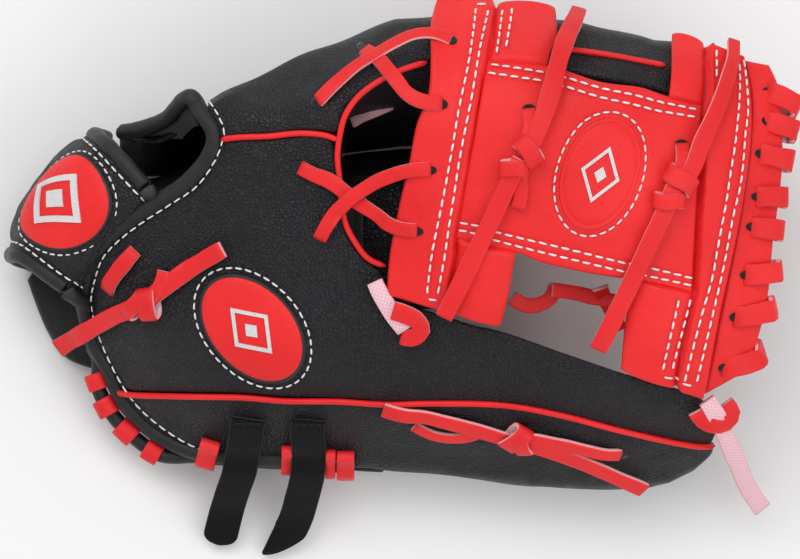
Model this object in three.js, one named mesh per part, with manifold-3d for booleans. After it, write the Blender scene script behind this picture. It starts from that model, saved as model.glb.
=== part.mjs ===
// Youth baseball glove, left hand, black shell with a red I-web.
// The glove lies pocket down: +X runs from the wrist to the finger tips, +Y is the finger side,
// -Y the thumb side, +Z up. Millimetres. The origin is on the ground under the middle of the glove.
import * as THREE from 'three';
import { mergeVertices } from 'three/addons/utils/BufferGeometryUtils.js';
import Module from 'manifold-3d';

const wasm = await Module();
wasm.setup();

// ---------------------------------------------------------------- driving dimensions
const GRID = 0.36;            // pitch of the layout grid that plan outlines are drawn on
const OX = -0.5, OY = 0.32;       // plan offset of the layout grid's middle from the origin
const OZ = 0;                 // height offset
const SHELL = 2.2;            // shell leather with its backing
const WEB_T = 2.0;            // web leather
const GAP = 0.35;             // clearance between neighbouring pieces
const LACE_W = 6.2;           // rawhide lace width
const LACE_T = 1.7;           // rawhide lace thickness
const CROSS_LACE_W = 4.0;     // narrower lace over the back opening
const PIPING_R = 1.0;         // piping cord radius
const BIND_R = 2.3;           // rolled binding radius
const BAND_T = 2.5;           // wrist strap thickness
const ELASTIC_W = 12.6;       // pull strap width
const ELASTIC_T = 1.3;        // pull strap thickness

const gx = (a) => (a - 400) * GRID + OX;
const gy = (b) => (279.5 - b) * GRID + OY;
const V = (x, y, z) => new THREE.Vector3(x, y, z);

// ---------------------------------------------------------------- the upper form of the glove
// Heights of the outer leather over the plan, on the layout grid: [a, b, height].
const FORM = [
  [80, 300, 34], [95, 262, 48], [130, 222, 58], [187, 188, 67], [214, 143, 72], [197, 101, 67],
  [85, 345, 25], [105, 390, 19], [142, 430, 18], [173, 452, 19], [203, 462, 21], [280, 470, 23], [355, 474, 25],
  [124, 394, 30], [180, 396, 43], [244, 397, 50], [284, 400, 52], [339, 401, 54], [386, 404, 57], [427, 403, 59],
  [504, 405, 60], [561, 415, 60], [619, 430, 56], [677, 443, 50], [702, 447, 47], [718, 445, 43],
  [140, 330, 50], [180, 270, 62], [253, 328, 66], [253, 260, 72], [320, 330, 69], [320, 250, 76], [250, 190, 76],
  [320, 180, 80], [224, 139, 75], [270, 137, 79], [338, 140, 83], [250, 105, 75], [263, 82, 63], [313, 100, 83],
  [313, 60, 67], [360, 80, 86], [354, 42, 68], [396, 60, 87], [396, 28, 70], [436, 90, 90], [436, 24, 71],
  [520, 75, 91], [520, 26, 72], [600, 75, 89], [600, 36, 70], [660, 80, 85], [660, 46, 69], [700, 100, 81],
  [705, 52, 68], [740, 75, 66], [440, 160, 90], [440, 250, 84], [430, 300, 77], [470, 318, 76], [560, 100, 92],
  [560, 180, 92], [560, 240, 88], [597, 174, 91], [650, 120, 88], [650, 200, 88], [650, 270, 84], [720, 150, 82],
  [715, 220, 82], [700, 300, 79], [690, 370, 73], [770, 90, 68], [775, 180, 71], [768, 260, 72], [755, 340, 69],
  [389, 296, 74], [500, 327, 75], [560, 350, 74], [618, 369, 72], [700, 395, 65], [715, 420, 55],
  [427, 473, 31], [485, 480, 31], [533, 487, 31], [580, 489, 31], [647, 489, 31], [671, 484, 32], [696, 471, 34],
  [712, 457, 36], [385, 180, 86], [385, 240, 79], [350, 200, 81],
];
const SMOOTH = 0.02;          // smoothing of the thin-plate surface through the heights

function thinPlate(points) {
  const n = points.length, m = n + 3;
  const k = (r2) => (r2 < 1e-12 ? 0 : 0.5 * r2 * Math.log(r2));
  const A = [];
  for (let i = 0; i < m; i++) A.push(new Float64Array(m + 1));
  const S = 0.01;
  const q = points.map((p) => [p[0] * S, p[1] * S, p[2]]);
  for (let i = 0; i < n; i++) {
    for (let j = 0; j < n; j++) A[i][j] = k((q[i][0] - q[j][0]) ** 2 + (q[i][1] - q[j][1]) ** 2);
    A[i][i] += SMOOTH;
    A[i][n] = A[n][i] = 1;
    A[i][n + 1] = A[n + 1][i] = q[i][0];
    A[i][n + 2] = A[n + 2][i] = q[i][1];
    A[i][m] = q[i][2];
  }
  for (let c = 0; c < m; c++) {
    let p = c;
    for (let r = c + 1; r < m; r++) if (Math.abs(A[r][c]) > Math.abs(A[p][c])) p = r;
    [A[c], A[p]] = [A[p], A[c]];
    for (let r = 0; r < m; r++) {
      if (r === c) continue;
      const f = A[r][c] / A[c][c];
      if (f) for (let j = c; j <= m; j++) A[r][j] -= f * A[c][j];
    }
  }
  const w = A.map((row, i) => row[m] / row[i]);
  return (a, b) => {
    const x = a * S, y = b * S;
    let z = w[n] + w[n + 1] * x + w[n + 2] * y;
    for (let i = 0; i < n; i++) z += w[i] * k((x - q[i][0]) ** 2 + (y - q[i][1]) ** 2);
    return z;
  };
}
const form = thinPlate(FORM);
const H = (a, b) => form(a, b) + OZ;
// Point on the form at grid place (a, b), lifted by off along the surface normal.
function at(a, b, off = 0) {
  const e = 1.5;
  const dx = (H(a + e, b) - H(a - e, b)) / (2 * e * GRID), dy = -(H(a, b + e) - H(a, b - e)) / (2 * e * GRID);
  const n = V(-dx, -dy, 1).normalize();
  return V(gx(a), gy(b), H(a, b)).addScaledVector(n, off);
}
function normalAt(a, b) {
  return at(a, b, 1).sub(at(a, b, 0)).normalize();
}

// ---------------------------------------------------------------- helpers
// Resample a polyline evenly by length: returns f(t), t in 0..1, for points of any length.
function along(points) {
  const d = [0];
  for (let i = 1; i < points.length; i++) d.push(d[i - 1] + Math.hypot(...points[i].map((c, k) => c - points[i - 1][k])));
  const L = d[d.length - 1];
  return (t) => {
    const s = Math.min(Math.max(t, 0), 1) * L;
    let i = 1;
    while (i < d.length - 1 && d[i] < s) i++;
    const u = (s - d[i - 1]) / (d[i] - d[i - 1] || 1);
    return points[i].map((c, k) => points[i - 1][k] * (1 - u) + c * u);
  };
}
// Smooth curve through points of [x, y, z] or [a, b].
function smooth(points, n) {
  const c = new THREE.CatmullRomCurve3(points.map((p) => V(p[0], p[1], p[2] ?? 0)), false, 'centripetal');
  return c.getSpacedPoints(n).map((p) => (points[0].length === 2 ? [p.x, p.y] : [p.x, p.y, p.z]));
}
const yAt = (table, x) => {      // table of [x, y] rows, linear between rows
  if (x <= table[0][0]) return table[0][1];
  for (let i = 1; i < table.length; i++) if (x <= table[i][0]) {
    const u = (x - table[i - 1][0]) / (table[i][0] - table[i - 1][0]);
    return table[i - 1][1] * (1 - u) + table[i][1] * u;
  }
  return table[table.length - 1][1];
};
// Closed body from a grid of points (rows x cols) of Vector3 and a thickness measured against the grid's normals.
function sheet(grid, t) {
  const nu = grid.length, nv = grid[0].length;
  const N = grid.map((row, i) => row.map((p, j) => {
    const du = grid[Math.min(i + 1, nu - 1)][j].clone().sub(grid[Math.max(i - 1, 0)][j]);
    const dv = grid[i][Math.min(j + 1, nv - 1)].clone().sub(grid[i][Math.max(j - 1, 0)]);
    return du.cross(dv).normalize();
  }));
  const pos = [], id = (s, i, j) => s * nu * nv + i * nv + j;
  for (let s = 0; s < 2; s++) for (let i = 0; i < nu; i++) for (let j = 0; j < nv; j++) {
    const p = grid[i][j].clone().addScaledVector(N[i][j], s ? -t : 0);
    pos.push(p.x, p.y, p.z);
  }
  const idx = [];
  const quad = (a, b, c, d) => idx.push(a, b, c, a, c, d);
  for (let i = 0; i < nu - 1; i++) for (let j = 0; j < nv - 1; j++) {
    quad(id(0, i, j), id(0, i + 1, j), id(0, i + 1, j + 1), id(0, i, j + 1));
    quad(id(1, i, j), id(1, i, j + 1), id(1, i + 1, j + 1), id(1, i + 1, j));
  }
  for (let i = 0; i < nu - 1; i++) {
    quad(id(0, i, 0), id(1, i, 0), id(1, i + 1, 0), id(0, i + 1, 0));
    quad(id(0, i, nv - 1), id(0, i + 1, nv - 1), id(1, i + 1, nv - 1), id(1, i, nv - 1));
  }
  for (let j = 0; j < nv - 1; j++) {
    quad(id(0, 0, j), id(0, 0, j + 1), id(1, 0, j + 1), id(1, 0, j));
    quad(id(0, nu - 1, j), id(1, nu - 1, j), id(1, nu - 1, j + 1), id(0, nu - 1, j + 1));
  }
  const g = new THREE.BufferGeometry();
  g.setAttribute('position', new THREE.Float32BufferAttribute(pos, 3));
  g.setIndex(idx);
  return faceOut(g);
}
function faceOut(g) {
  const p = g.attributes.position, ix = g.index.array;
  let vol = 0;
  for (let i = 0; i < ix.length; i += 3) {
    const [a, b, c] = [0, 1, 2].map((k) => V(p.getX(ix[i + k]), p.getY(ix[i + k]), p.getZ(ix[i + k])));
    vol += a.dot(b.cross(c));
  }
  if (vol < 0) for (let i = 0; i < ix.length; i += 3) [ix[i + 1], ix[i + 2]] = [ix[i + 2], ix[i + 1]];
  return g;
}
// Panel laid on the form between two plan edges A and B, its outer face lifted by off.
function drape(A, B, nu, nv, off, t) {
  const fa = along(A), fb = along(B), grid = [];
  for (let i = 0; i <= nu; i++) {
    const p = fa(i / nu), q = fb(i / nu), row = [];
    for (let j = 0; j <= nv; j++) row.push(at(p[0] + (q[0] - p[0]) * j / nv, p[1] + (q[1] - p[1]) * j / nv, off));
    grid.push(row);
  }
  return sheetDown(grid, t);
}
// As sheet, with the thickness always going under the face (away from +Z on average).
function sheetDown(grid, t) {
  const m = [Math.floor(grid.length / 2), Math.floor(grid[0].length / 2)];
  const du = grid[m[0] + 1 < grid.length ? m[0] + 1 : m[0]][m[1]].clone().sub(grid[m[0] - 1 < 0 ? 0 : m[0] - 1][m[1]]);
  const dv = grid[m[0]][Math.min(m[1] + 1, grid[0].length - 1)].clone().sub(grid[m[0]][Math.max(m[1] - 1, 0)]);
  return sheet(grid, du.cross(dv).z >= 0 ? t : -t);
}
// Flat lace or band: a rectangular section swept through points; side(i, tangent) gives the width direction.
function ribbon(points, w, t, side) {
  const P = points.map((p) => (p.isVector3 ? p : V(...p))), n = P.length, pos = [], idx = [];
  for (let i = 0; i < n; i++) {
    const T = P[Math.min(i + 1, n - 1)].clone().sub(P[Math.max(i - 1, 0)]).normalize();
    const S = side(i, T).clone();
    S.addScaledVector(T, -S.dot(T)).normalize();
    const U = T.clone().cross(S).normalize();
    for (const [s, u] of [[1, 1], [-1, 1], [-1, -1], [1, -1]]) {
      const q = P[i].clone().addScaledVector(S, s * w / 2).addScaledVector(U, u * t / 2);
      pos.push(q.x, q.y, q.z);
    }
  }
  const quad = (a, b, c, d) => idx.push(a, b, c, a, c, d);
  for (let i = 0; i < n - 1; i++) for (let k = 0; k < 4; k++) quad(i * 4 + k, i * 4 + (k + 1) % 4, i * 4 + 4 + (k + 1) % 4, i * 4 + 4 + k);
  quad(0, 3, 2, 1);
  quad(n * 4 - 4, n * 4 - 3, n * 4 - 2, n * 4 - 1);
  const g = new THREE.BufferGeometry();
  g.setAttribute('position', new THREE.Float32BufferAttribute(pos, 3));
  g.setIndex(idx);
  return faceOut(g);
}
// Lace lying on the form along a plan path, its underside lifted by off.
function laceOn(path, n, off, w = LACE_W, t = LACE_T) {
  const pts = smooth(path, n);
  const c = pts.map(([a, b]) => at(a, b, off + t / 2));
  return ribbon(c, w, t, (i, T) => normalAt(pts[i][0], pts[i][1]).cross(T));
}
// Round cord through points.
function cord(points, r, steps, sides = 6) {
  const shape = new THREE.Shape();
  for (let i = 0; i < sides; i++) {
    const a = (i + 0.5) / sides * 2 * Math.PI;
    if (i) shape.lineTo(r * Math.cos(a), r * Math.sin(a)); else shape.moveTo(r * Math.cos(a), r * Math.sin(a));
  }
  shape.closePath();
  const curve = new THREE.CatmullRomCurve3(points.map((p) => (p.isVector3 ? p : V(...p))), false, 'centripetal');
  return new THREE.ExtrudeGeometry(shape, { steps, bevelEnabled: false, extrudePath: curve });
}
const cordOn = (path, r, steps, off) => cord(path.map(([a, b]) => at(a, b, off)), r, steps);

function solid(g) {
  let h = g.clone();
  h.deleteAttribute('normal');
  h.deleteAttribute('uv');
  h = mergeVertices(h, 1e-4);
  const ix = h.index ? h.index.array : [...Array(h.attributes.position.count).keys()];
  return new wasm.Manifold(new wasm.Mesh({ numProp: 3, vertProperties: new Float32Array(h.attributes.position.array), triVerts: new Uint32Array(ix) }));
}
function fromSolid(s) {
  const m = s.getMesh();
  const g = new THREE.BufferGeometry();
  g.setAttribute('position', new THREE.Float32BufferAttribute(new Float32Array(m.vertProperties), 3));
  g.setIndex([...m.triVerts]);
  return g;
}
const join = (...gs) => fromSolid(gs.map(solid).reduce((a, b) => a.add(b)));
const cut = (g, ...tools) => fromSolid(tools.map(solid).reduce((a, b) => a.subtract(b), solid(g)));

const group = new THREE.Group();
function part(name, geometry, color, roughness = 0.6, metalness = 0) {
  geometry.deleteAttribute('uv');
  const mesh = new THREE.Mesh(geometry, new THREE.MeshStandardMaterial({ color, roughness, metalness }));
  mesh.name = name;
  group.add(mesh);
  return mesh;
}
const BLACK = 0x2a282c, BIND = 0x222226, RED = 0xe43838, LACE = 0xe02f32, ELASTIC = 0x1b1b1d, PAD = 0x3a3a3d, FELT = 0x8a8a8c;

// ---------------------------------------------------------------- plan outlines on the layout grid
const UPPER_SEAM = [[216, 140], [240, 138], [270, 137], [301, 134], [326, 136], [339, 141]];
const LOWER_SEAM = [[104, 392], [124, 394], [180, 396], [244, 397], [284, 400], [339, 401], [386, 404], [427, 403], [504, 405], [561, 415], [619, 430], [677, 443], [702, 447], [718, 446]];
const INDEX_EDGE = [[112, 129], [141, 129], [159, 126], [177, 114], [186, 107], [208, 100], [230, 89], [263, 73], [313, 51], [354, 35], [396, 20], [436, 15], [480, 16], [556, 21], [581, 23], [617, 29], [640, 35], [654, 40], [680, 42], [719, 54], [738, 66]];
const THUMB_EDGE = [[351, 472], [370, 472], [427, 477], [485, 484], [533, 491], [580, 493], [647, 493], [671, 488], [696, 475], [712, 459], [720, 446]];
const HEEL_EDGE = [[84, 322], [90, 345], [104, 370], [119, 402], [145, 430], [176, 450], [205, 460], [240, 463], [300, 467], [351, 470]];
const OPENING = [[82, 318], [80, 299], [83, 280], [92, 256], [114, 232], [152, 206], [190, 180], [212, 150], [213, 132], [201, 112], [196, 103]];
const CROTCH = [[427, 64], [404, 71], [379, 83], [359, 98], [346, 116], [340, 138], [338, 158], [340, 179], [342, 204], [346, 224], [354, 240], [368, 258], [386, 266]];
const THUMB_TOP = [[389, 300], [426, 312], [443, 317], [470, 326], [500, 333], [560, 354], [618, 374], [657, 386], [702, 401], [714, 420], [718, 438]];
const NEAR_L = [[437, 16], [431, 33], [429, 66], [426, 100], [417, 124], [411, 158], [404, 191], [396, 232], [391, 264], [389, 292]];
const NEAR_R = [[555, 17], [557, 40], [549, 64], [541, 100], [533, 150], [526, 200], [517, 252], [510, 294], [502, 322]];
const FAR_L = [[669, 48], [665, 72], [662, 97], [657, 150], [650, 200], [643, 250], [634, 282], [624, 308], [619, 366]];
const FAR_R = [[742, 68], [746, 96], [744, 140], [739, 180], [733, 220], [724, 270], [715, 315], [706, 360], [700, 388]];
const STRIP_R = [[768, 72], [777, 92], [779, 130], [779, 170], [775, 205], [770, 241], [765, 295], [757, 330], [747, 364]];

// ---------------------------------------------------------------- hand back and thumb base
{
  // big face over the thumb base, from the upper seam to the lower seam
  const A = [[100, 262], [114, 244], [152, 217], [200, 186], [222, 158], [228, 146], [270, 141.5], [301, 138.5], [330, 140], [334, 158], [335, 179], [337, 204], [341, 226], [349, 243], [364, 262], [378, 272], [380, 296]];
  const B = [[92, 326], [104, 356], [116, 380], [124, 388], [150, 391], [180, 392.5], [210, 393], [244, 393.5], [270, 395], [300, 397], [320, 397.5], [339, 397.5], [350, 398], [360, 398.5], [372, 399.5], [380, 400]];
  part('thumb_base_back_panel', drape(smooth(A, 24), smooth(B, 24), 16, 7, 0, SHELL), BLACK, 0.55);
  // strip between the lower seam and the heel binding
  const C = [[114, 395], [150, 400], [180, 400.5], [244, 401.5], [284, 404.5], [339, 405], [380, 407.5]];
  const D = [[117, 400], [140, 421], [170, 440], [205, 453], [250, 457.5], [300, 460.5], [380, 466]];
  part('heel_side_panel', drape(smooth(C, 16), smooth(D, 16), 14, 3, 0, SHELL), BLACK, 0.55);
}
// rolled binding round the wrist opening and along the heel
{
  const path = [...HEEL_EDGE.slice().reverse(), ...OPENING.slice(1)];
  part('wrist_opening_binding', cordOn(smooth(path, 44), BIND_R, 38, -2.2), BIND, 0.5);
}
// ---------------------------------------------------------------- index back panel and the finger side
const silh = INDEX_EDGE;
const yS = (x) => gy(yAt(silh, (x - OX) / GRID + 400));
{
  // index back: inner edge, over the crest, down the outer side
  const inner = [[220, 134], [240, 133], [270, 132], [301, 129], [330, 131], [337, 130], [342, 112], [355, 95], [377, 79], [403, 66.5], [430, 58], [480, 58], [540, 66], [600, 77], [650, 87], [690, 98], [722, 108]];
  const fin = along(smooth(inner, 40)), grid = [];
  const nu = 18;
  for (let i = 0; i <= nu; i++) {
    const [a, b] = fin(i / nu);
    const bs = yAt(silh, a), row = [];
    const x = gx(a);
    for (let j = 0; j <= 4; j++) row.push(at(a, b + (bs + 7 - b) * j / 4, 0));
    const top = row[4];
    const tip = a > 690 ? (a - 690) / 32 : 0;
    row.push(V(x, gy(bs) - 0.6, top.z - 7), V(x, gy(bs) - 0.3, 60 - 1 * tip + OZ), V(x, gy(bs) - 4, 55.5 + OZ));
    grid.push(row);
  }
  part('index_back_panel', sheet(grid, Math.sign(sheetSign(grid)) * SHELL), BLACK, 0.55);
}
function sheetSign(grid) {        // +1 when the grid's normals point away from the glove's middle line
  const i = Math.floor(grid.length / 2), j = Math.floor(grid[0].length / 2);
  const du = grid[i + 1][j].clone().sub(grid[i - 1][j]), dv = grid[i][j + 1].clone().sub(grid[i][j - 1]);
  const n = du.cross(dv), c = grid[i][j].clone().sub(V(grid[i][j].x, 20, 10));
  return n.dot(c) >= 0 ? 1 : -1;
}
// the three lower fingers: bowed backs, one above the other
const FINGERS = [
  ['middle_back_panel', 44.6, 9.9, 4, 124.5, 60],
  ['ring_back_panel', 23.9, 9.9, 9, 116, 57],
  ['little_back_panel', 6.2, 7.0, 15, 100, 52],
];
const FX0 = -22;                  // where the finger stalls start
for (const [name, zc, hz, inset, tip, yc] of FINGERS) {
  const grid = [];
  for (let i = 0; i <= 11; i++) {
    const x = FX0 + (tip - FX0) * (1 - (1 - i / 11) ** 1.25);
    const f = Math.sqrt(Math.max(0.02, 1 - ((x - FX0) / (tip - FX0)) ** 7));
    const outer = yS(Math.min(x, 112)) - inset - 0.8;
    const y0 = yc - Math.max(0, -x) * 0.12, D = Math.max(3, (outer - y0)) * (0.3 + 0.7 * f);
    const row = [];
    for (let k = 0; k <= 6; k++) {
      const p = Math.PI * (k / 6 - 0.5);
      row.push(V(x, y0 + D * Math.cos(p) ** 0.6, zc + hz * (0.75 + 0.25 * f) * Math.sin(p) + OZ));
    }
    grid.push(row);
  }
  part(name, sheet(grid, sheetSign(grid) * SHELL), BLACK, 0.55);
}
// dorsal wall between the wrist strap and the stalls
{
  const grid = [];
  for (let i = 0; i <= 8; i++) {
    const x = -102 + (FX0 - 1.4 + 102) * i / 8, ys = yS(x), zt = 54.3 - 20 * Math.max(0, (-x - 74) / 28), row = [];
    for (let k = 0; k <= 6; k++) {
      const u = k / 6;
      row.push(V(x, ys - 4.5 * Math.min(1, (x + 104) / 30 + 0.3) - 13 * u * u + 1.5 * Math.sin(Math.PI * u), zt * (1 - u) - 0.6 * u + OZ));
    }
    grid.push(row);
  }
  part('hand_back_panel', sheet(grid, sheetSign(grid) * SHELL), BLACK, 0.55);
}
// ---------------------------------------------------------------- thumb
const TX0 = 386;                  // grid line where the thumb stall starts
{
  const A = [[TX0, 302], [400, 306.5], ...THUMB_TOP.slice(1)];
  const B = [[TX0, 400.2], [427, 399], [504, 401], [561, 411], [619, 426], [677, 439], [700, 442.5], [713, 442.5]];
  part('thumb_back_panel', drape(smooth(A, 20), smooth(B, 20), 16, 5, 0, SHELL), BLACK, 0.55);
  // side of the thumb: lower seam, over the widest line, down to the ground edge
  const S = [[TX0, 408], [427, 407], [504, 409], [561, 419], [619, 434], [677, 447], [700, 450.5], [714, 450]];
  const fs = along(smooth(S, 24)), grid = [];
  for (let i = 0; i <= 16; i++) {
    const [a, b] = fs(i / 16), be = yAt(THUMB_EDGE, a), row = [];
    const b1 = Math.max(b + 2, be - 6);
    for (let j = 0; j <= 3; j++) row.push(at(a, b + (b1 - b) * j / 3, 0));
    const p = row[3], ye = gy(be) + 0.8, k = a > 660 ? Math.min(1, (a - 660) / 54) : 0, z = Math.min(p.z - 3, 26 + OZ + 6 * k);
    row.push(V(p.x, ye, z), V(p.x, ye + 1, z * 0.55), V(p.x - 1 * k, ye + 5 + 3 * k, 3 * (1 + 3 * k)), V(p.x - 2 * k, ye + 8.5 + 4 * k, -0.8 + 9 * k));
    grid.push(row);
  }
  part('thumb_side_panel', sheet(grid, thumbSign(grid) * SHELL), BLACK, 0.55);
  // palm-side leather of the thumb
  const g2 = [];
  for (let i = 0; i <= 12; i++) {
    const x = gx(TX0) + (112 - gx(TX0)) * i / 12, a = (x - OX) / GRID + 400;
    const bt = yAt(THUMB_TOP, a) , be = yAt(THUMB_EDGE, a), row = [];
    const top = at(a, bt + 6, -SHELL - 1.2), k = a > 640 ? Math.min(1, (a - 640) / 80) : 0;
    const yb = gy(be) + 14 + 2 * k, zb = 3.2 + 9 * k;
    for (let j = 0; j <= 5; j++) {
      const u = j / 5;
      row.push(V(x, top.y * (1 - u) + yb * u + 7 * (1 - k) * Math.sin(Math.PI * u), top.z * (1 - u) + (zb + OZ) * u));
    }
    g2.push(row);
  }
  part('thumb_palm_panel', sheet(g2, -thumbSign(g2) * -SHELL), BLACK, 0.6);
}
function thumbSign(grid) {
  const i = Math.floor(grid.length / 2), j = Math.floor(grid[0].length / 2);
  const du = grid[i + 1][j].clone().sub(grid[i - 1][j]), dv = grid[i][j + 1].clone().sub(grid[i][j - 1]);
  return du.cross(dv).dot(V(0, -1, 0.6)) >= 0 ? 1 : -1;
}
// ---------------------------------------------------------------- palm: finger side, centre, heel
{
  const grid = [];
  for (let i = 0; i <= 11; i++) {
    const x = FX0 + (112 - FX0) * i / 11, a = (x - OX) / GRID + 400, row = [];
    const shift = Math.max(0, -x) * 0.12;
    const inner = [[330, 131], [342, 112], [355, 95], [377, 79], [403, 66.5], [430, 58], [480, 58], [540, 66], [600, 77], [650, 87], [690, 98], [722, 108]];
    const yi = gy(yAt(inner, a));
    const z0 = H(a, yAt(inner, a)) - SHELL - 2.5;
    const rows = [[yi - 2, z0], [Math.min(yi - 2, 63) - shift, 66], [58.5 - shift, 48], [56 - shift, 30], [51.5 - shift, 14], [48.5 - shift, 2.4]];
    for (const [y, z] of rows) row.push(V(x, y, z + (z === z0 ? 0 : OZ)));
    grid.push(row);
  }
  part('finger_palm_panel', sheet(grid, -sheetSign(grid) * -SHELL), BLACK, 0.6);
}
// centre of the palm: an arch from the little-finger side over the pocket to the thumb side
const palmZ = (x, y) => 41 + 0.02 * x - 15 * Math.abs((y - 2) / 50) ** 2.2 - 7 * Math.max(0, (-x - 62) / 40) ** 2;
function palmSheet(lift, t, x0, x1, inset) {
  const grid = [];
  for (let i = 0; i <= 8; i++) {
    const x = x0 + (x1 - x0) * i / 8, row = [];
    const k = Math.min(1, Math.max(0, (x + 13) / 7));       // narrows beside the thumb and finger stalls
    const lo = (gy(yAt([[84, 322], ...HEEL_EDGE.slice(1), [TX0, 472], [460, 470]], (x - OX) / GRID + 400)) + 9 + inset) * (1 - k) - 10.5 * k;
    const hi = (39.4 - Math.max(0, -x - 22) * 0.1 - inset) * (1 - k) + 35.5 * k;
    for (let j = 0; j <= 6; j++) {
      const y = lo + (hi - lo) * j / 6;
      row.push(V(x, y, palmZ(x, y) + lift + OZ));
    }
    grid.push(row);
  }
  return sheetDown(grid, t);
}
part('palm_leather', palmSheet(0, SHELL, -96, 24, 0), BLACK, 0.6);
part('palm_pad', palmSheet(4.8, 3.2, -88, -14, 9), PAD, 0.9);
part('palm_lining', palmSheet(7.2, 1.4, -90, -14, 9), 0x3b3b3e, 0.85);

part('heel_pad', palmSheet(-3.4, 6, -84, -50, 14), PAD, 0.9);
// palm heel leather: from the heel binding down to the ground
{
  const edge = [[84, 322], [88, 340], [98, 366], [116, 402], [142, 431], [176, 452], [205, 461], [250, 465.5], [300, 469], [TX0 - 2, 474]];
  const fe = along(smooth(edge, 24)), grid = [];
  for (let i = 0; i <= 18; i++) {
    const [a, b] = fe(i / 18), [a2, b2] = fe(Math.min(1, i / 18 + 0.02)), [a0, b0] = fe(Math.max(0, i / 18 - 0.02));
    const tx = (a2 - a0), ty = -(b2 - b0), L = Math.hypot(tx, ty);
    const inx = -ty / L, iny = tx / L;       // plan direction into the glove
    const row = [], x = gx(a), y = gy(b), zt = 14.5;
    for (const [d, z] of [[-0.5, zt], [0.6, zt * 0.62], [3.2, 3.2], [7, -0.9]]) row.push(V(x + inx * d, y + iny * d, z + OZ));
    grid.push(row);
  }
  part('heel_palm_panel', sheet(grid, heelSign(grid) * SHELL), BLACK, 0.6);
}
function heelSign(grid) {
  const i = Math.floor(grid.length / 2);
  const du = grid[i + 1][1].clone().sub(grid[i - 1][1]), dv = grid[i][2].clone().sub(grid[i][0]);
  return du.cross(dv).dot(V(-0.5, -1, 0)) >= 0 ? 1 : -1;
}
// ---------------------------------------------------------------- wrist strap
// Rows run across the strap, from the edge beside the back opening to the wrist edge.
const STRAP = [
  [[168, 206, 61], [140, 172, 63.5], [112, 141, 57], [99, 129, 44], [97, 127, 30], [106, 130, 17]],
  [[150, 228, 58], [118, 199, 61], [82, 163, 54], [66, 150, 40], [64, 148, 26], [78, 152, 12]],
  [[128, 252, 53], [90, 227, 56], [52, 194, 49], [36, 184, 36], [34, 183, 22], [50, 188, 8]],
  [[104, 282, 46], [64, 256, 49], [28, 228, 42], [14, 221, 30], [12, 220, 17], [30, 226, 4]],
  [[86, 312, 37], [50, 287, 41], [18, 265, 35], [5, 262, 25], [4, 263, 13], [24, 272, 1.2]],
];
const strapCurves = STRAP.map((r) => new THREE.CatmullRomCurve3(r.map(([a, b, z]) => V(gx(a), gy(b), z + OZ)), false, 'centripetal'));
function strapAt(u, v, off = 0) {      // u 0..1 across, v 0..1 along from the palm side round to the far side
  const f = (uu, vv) => new THREE.CatmullRomCurve3(strapCurves.map((c) => c.getPoint(Math.min(1, Math.max(0, vv)))), false, 'centripetal').getPoint(Math.min(1, Math.max(0, uu)));
  const p = f(u, v);
  const du = f(u + 0.02, v).sub(f(u - 0.02, v)), dv = f(u, v + 0.02).sub(f(u, v - 0.02));
  const n = dv.cross(du).normalize();
  return p.addScaledVector(n, off);
}
function strapGrid(u0, u1, v0, v1, nu, nv, off) {
  const g = [];
  for (let i = 0; i <= nu; i++) {
    const row = [];
    for (let j = 0; j <= nv; j++) row.push(strapAt(u0 + (u1 - u0) * i / nu, v0 + (v1 - v0) * j / nv, off));
    g.push(row);
  }
  return g;
}
const strapOut = (() => { const c = strapAt(0.5, 0.5), d = strapAt(0.5, 0.5, 5).sub(c); return d.dot(V(-1, 0.6, 0.3)) > 0 ? 1 : -1; })();
function strapSheet(u0, u1, v0, v1, nu, nv, off, t) {
  const g = strapGrid(u0, u1, v0, v1, nu, nv, off * strapOut);
  const i = 1, du = g[i + 1 > nu ? i : i + 1][1].clone().sub(g[i - 1][1]), dv = g[i][2].clone().sub(g[i][0]);
  const out = strapAt((u0 + u1) / 2, (v0 + v1) / 2, 5 * strapOut).sub(strapAt((u0 + u1) / 2, (v0 + v1) / 2));
  return sheet(g, du.cross(dv).dot(out) >= 0 ? t : -t);
}
part('wrist_strap', strapSheet(0.12, 0.88, 0, 1, 6, 12, 0, BAND_T), BLACK, 0.5);
part('strap_upper_binding', cord([...Array(9).keys()].map((k) => strapAt(0.045, k / 8, -1.2 * strapOut)), BIND_R, 18), BIND, 0.45);
part('strap_lower_binding', cord([...Array(9).keys()].map((k) => strapAt(0.955, k / 8, -1.2 * strapOut)), BIND_R, 18), BIND, 0.45);
{
  // oval patch on the strap
  const rings = [0.06, 0.4, 0.75, 1], g = [];
  for (let r = 0; r < rings.length; r++) {
    const row = [];
    for (let k = 0; k <= 20; k++) {
      const p = k / 20 * 2 * Math.PI * 0.999;
      row.push(strapAt(0.5 + 0.3 * rings[r] * Math.sin(p), 0.3 + 0.2 * rings[r] * Math.cos(p), 2.3 * strapOut));
    }
    g.push(row);
  }
  part('strap_patch', patchSolid(g, strapAt(0.5, 0.3, 2.3 * strapOut), 1.2, strapAt(0.5, 0.3, 6 * strapOut)), RED, 0.45);
}
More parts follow.
